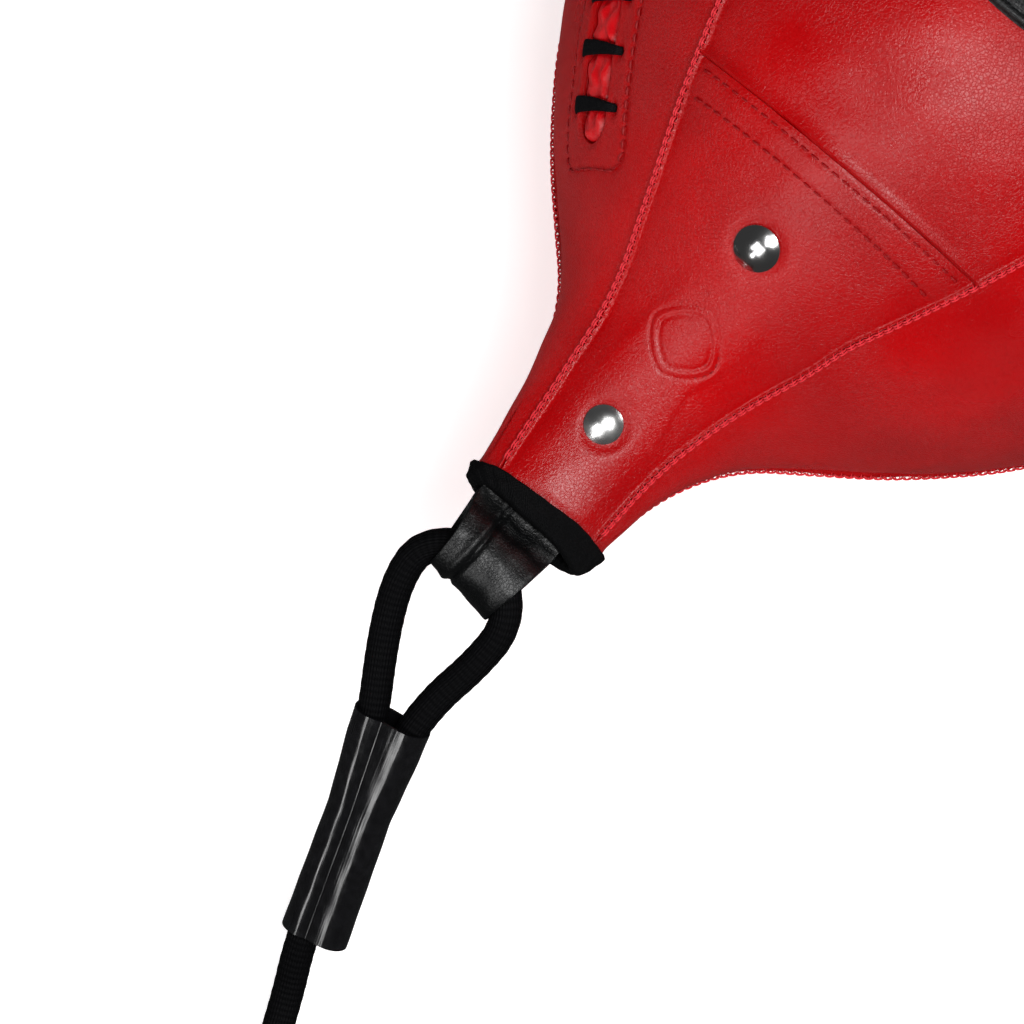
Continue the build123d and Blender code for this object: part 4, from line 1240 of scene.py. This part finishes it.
def spline_points(route):
    """Points of the smooth NURBS line that has the route as its control points."""
    curve = bpy.data.curves.new("route", "CURVE")
    curve.dimensions = "3D"
    curve.resolution_u = 20
    spline = curve.splines.new("NURBS")
    spline.points.add(len(route) - 1)
    for point, place in zip(spline.points, route):
        point.co = (*[float(value) * MM for value in place], 1.0)
    spline.order_u = 3
    spline.use_endpoint_u = True
    holder = placed("route", curve)
    bpy.context.view_layer.update()
    mesh = bpy.data.meshes.new_from_object(holder)
    points = np.array([vertex.co for vertex in mesh.vertices]) / MM
    bpy.data.objects.remove(holder)
    bpy.data.curves.remove(curve)
    bpy.data.meshes.remove(mesh)
    return points


def cord_tube(name, points, *nodes, body="root"):
    """Round braided cord along a line of points."""
    way = tangents(points)
    side = np.zeros_like(points)
    side[0] = unit(np.cross(way[0], [0.0, 0.0, 1.0]))
    for k in range(1, len(points)):
        side[k] = unit(side[k - 1] - way[k] * (side[k - 1] @ way[k]))
    along = lengths_along(points)
    turn = full_turn(CORD_SIDES)
    carriers, lead = BRAID_CARRIERS * turn, 2 * np.pi * along[:, None] / BRAID_PITCH
    radius = CORD / 2 - BRAID_HEIGHT + BRAID_HEIGHT * np.cos(carriers + lead) * np.cos(carriers - lead)
    rings = rings_round(points, side, np.cross(way, side), radius * np.cos(turn), radius * np.sin(turn))
    i, j = np.meshgrid(np.arange(len(points) - 1), np.arange(CORD_SIDES), indexing="ij")
    corners = [(i, j), (i + 1, j), (i + 1, j + 1), (i, j + 1)]
    uv = np.stack([np.stack([along[a], b / CORD_SIDES], -1) for a, b in corners], 2).reshape(-1, 2)
    uv = np.concatenate([uv, np.zeros((2 * CORD_SIDES, 2))])
    faces = tube_faces(len(points), CORD_SIDES)
    return new_piece(name, rings.reshape(-1, 3), faces, CORD_BRAID, *nodes, body=body, uv=uv)


def sleeve_piece(name, top, way, side, widths, node, body="root"):
    """Shrunk sleeve over two cords: two ridges along it, a V crease between them."""
    up = unit(np.cross(side, way))
    arc = np.linspace(-np.pi / 2, np.pi / 2, 17)
    flat = np.linspace(-1, 1, 29)[1:-1]
    far_side = np.where(flat < -CREASE, CREASE - 1, CREASE + 1)
    groove = CREASE_DEPTH * (1 - (flat + CREASE) / far_side) ** 2
    rings = []
    for wall in (0.0, SLEEVE_WALL):
        for share in np.linspace(0, 1, SLEEVE_RINGS):
            waist = WAIST_DEPTH * hump(share, WAIST_AT, WAIST_REACH)
            radius = CORD / 2 + SLEEVE_OVER_CORD - wall - waist
            middle = max(np.interp(share, *widths) / 2 - wall - radius, 0.5)
            right = np.stack([middle + radius * np.cos(arc), radius * np.sin(arc)], 1)
            upper = np.stack([-flat * middle, radius - groove], 1)
            section = np.concatenate([right, upper, -right, -upper])
            section *= (1 + 0.004 * np.sin(share * 31 + section[:, :1]))
            rings.append(top + way * share * SLEEVE_LENGTH + section[:, :1] * side + section[:, 1:] * up)
    points = np.concatenate(rings)
    around = len(points) // (2 * SLEEVE_RINGS)
    faces = thick_faces(quad_grid(SLEEVE_RINGS, around, wrap_columns=True), len(points) // 2)
    ring, spot = np.divmod(np.arange(len(points)) % (len(points) // 2), around)
    uv = np.stack([ring[faces] / SLEEVE_RINGS * SLEEVE_LENGTH, spot[faces] / around], -1)
    # the last strip of faces runs on past 1 instead of back to 0
    crossing = np.ptp(uv[..., 1], axis=1) > 0.5
    uv[..., 1] += crossing[:, None] & (uv[..., 1] < 0.5)
    return new_piece(name, points, faces, SLEEVE_PLASTIC, node, body=body, uv=uv.reshape(-1, 2))


def make_near_loop():
    """The cord's loop through the near tab's eye, and the sleeve that closes it."""
    down = np.array([-math.cos(LOOP_SLOPE), 0.0, -math.sin(LOOP_SLOPE)])
    eye = np.array([-EYE_X, 0.0, EYE_HEIGHT])
    leg = SLEEVE_SIDE * (PAIR_OFFSET - 0.2)
    tail_side = [SLEEVE_TOP + SLEEVE_WAY * along - leg for along in (SLEEVE_LENGTH - 10, 36, 6)]
    loop = [eye + down * along + np.array([0.0, across, 0.0]) for along, across in (
        (34, -18.6), (20, -19.6), (6.3, -18.5), (-2.5, -9.7),
        (-2.5, 2.7), (6.3, 11.5), (17.5, 10.0), (32, 2.0))]
    main_side = [SLEEVE_TOP + SLEEVE_WAY * along + leg for along in (6, 34, SLEEVE_LENGTH - 6)]
    points = spline_points(tail_side + loop + main_side)
    cord = cord_tube("loop_near", points, "cord_loop_near", body="near_loop")
    sleeve = sleeve_piece("sleeve_near_tube", SLEEVE_TOP, SLEEVE_WAY, SLEEVE_SIDE, NEAR_WIDTHS,
                          "sleeve_near", body="near_loop")


def coil_route():
    """Clockwise turns: the outer one, the inner one, then up on to both."""
    count = round(COIL_TURNED / 360 * POINTS_PER_TURN)
    route = []
    for k in range(count + 1):
        turned = COIL_TURNED * k / count
        angle = math.radians(COIL_START_ANGLE - turned)
        radius = np.interp(turned, *COIL_RADII) * (1.0 + 0.004 * math.sin(turned / 40))
        height = CORD_REST + COIL_TOP_LIFT * np.clip((turned - CLIMB_START) / CLIMB_TURN, 0, 1)
        route.append(COIL_CENTRE + np.array([radius * math.cos(angle), radius * math.sin(angle), height]))
    return route


def far_spot(along, across, height):
    """A point on the far end's own line."""
    return COIL_EXIT + END_WAY * along + END_SIDE * across + np.array([0.0, 0.0, height])


def make_far_loop():
    """The far sleeve and the loop that holds the snap hook."""
    half = [
        (-SLEEVE_LENGTH + 6, 4.15, FAR_REST),
        (-34.0, 4.15, FAR_REST),
        (-3.0, 4.35, FAR_REST),
        (16.0, 12.0, FAR_REST + 1.2),
        (33.0, 14.5, FAR_REST + 2.9),
        (46.5, 8.2, APEX_HEIGHT - 0.3),
    ]
    there = [(along, -across, height) for along, across, height in half]
    points = spline_points([
        far_spot(FAR_SLEEVE_END + along, PAIR_OFFSET + across, height)
        for along, across, height in there + [(48.6, 0.0, APEX_HEIGHT)] + half[::-1]])
    loop = cord_tube("loop_far", points, "cord_loop_far")
    start = far_spot(FAR_SLEEVE_START, PAIR_OFFSET, FAR_REST)
    return loop, sleeve_piece("sleeve_far_tube", start, END_WAY, END_SIDE, FAR_WIDTHS, "sleeve_far")


def make_main_cord(far_pieces):
    """One cord from the near sleeve, along the floor, round the coil and into the far sleeve."""
    free = [
        SLEEVE_END - SLEEVE_WAY * 5 + SLEEVE_SIDE * EXIT_OFFSET,
        SLEEVE_END + SLEEVE_WAY * 5 + SLEEVE_SIDE * EXIT_OFFSET,
        (-272.6, -46.2, 12.4),
        (-288.6, -55.5, CORD_REST),
        (-305.5, -68.5, CORD_REST),
        (-322.0, -79.5, CORD_REST),
    ]
    run = [
        far_spot(19, 0.4, CORD_REST + COIL_TOP_LIFT - 0.1),
        far_spot(41, 0.1, FAR_REST + 2.0),
        far_spot(FAR_SLEEVE_START - 1, 0, FAR_REST),
        far_spot(FAR_SLEEVE_START + 4, 0.1, FAR_REST),
    ]
    points = spline_points(free + coil_route() + run)
    cord = cord_tube("cord_main", points, "cord_free", "cord_coil", "cord_end_run", body=None)
    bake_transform(cord)


# ---- making it all ----

make_near_loop()
make_main_cord(make_far_loop())

near_gore = make_front_neck(-1, "front_neck_panel_near", True)
far_gore = make_front_neck(1, "front_neck_panel_far", False)
make_front_middle()
make_laced_panel()
make_side_panel(2, "lower_left_panel")
make_side_panel(3, "lower_right_panel")
make_side_panel(4, "right_side_panel")

for seam in range(5):
    make_seam_stitches(seam)
make_cross_stitches(near_gore, "cross_seam_stitches_near")
make_cross_stitches(far_gore, "cross_seam_stitches_far")
make_motif_stitches(near_gore)
make_outline_stitches()

make_tongue()
make_reinforcement()
make_lace()
make_patch()
make_binding(-1, "neck_binding_near")
make_binding(1, "neck_binding_far")
make_tab(-1, "strap_tab_near")
make_tab(1, "strap_tab_far")
make_bladder()

NODE_MATERIALS = {
    CHROME: ["small_rivets"],
    # the large rivets' darker chrome is painted shade
    CHROME_PAINTED_SHADE: ["large_rivets"],
    WASHER: ["small_rivet_washers", "large_rivet_washers", "gate_pin"],
    BLADDER_RUBBER: ["bladder_valve"],
    HOOK_STEEL: ["swivel_eye", "hook_body", "hook_gate"],
}
for material, nodes in NODE_MATERIALS.items():
    for node in nodes:
        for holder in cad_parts[node].material_slots:
            holder.material = material

floor_mesh = bpy.data.meshes.new("floor")
floor_mesh.from_pydata([(-6, -6, 0), (6, -6, 0), (6, 6, 0), (-6, 6, 0)], [], [(0, 1, 2, 3)])
floor_mesh.materials.append(FLOOR_PAPER)
floor = placed("floor", floor_mesh)
floor.visible_glossy = False
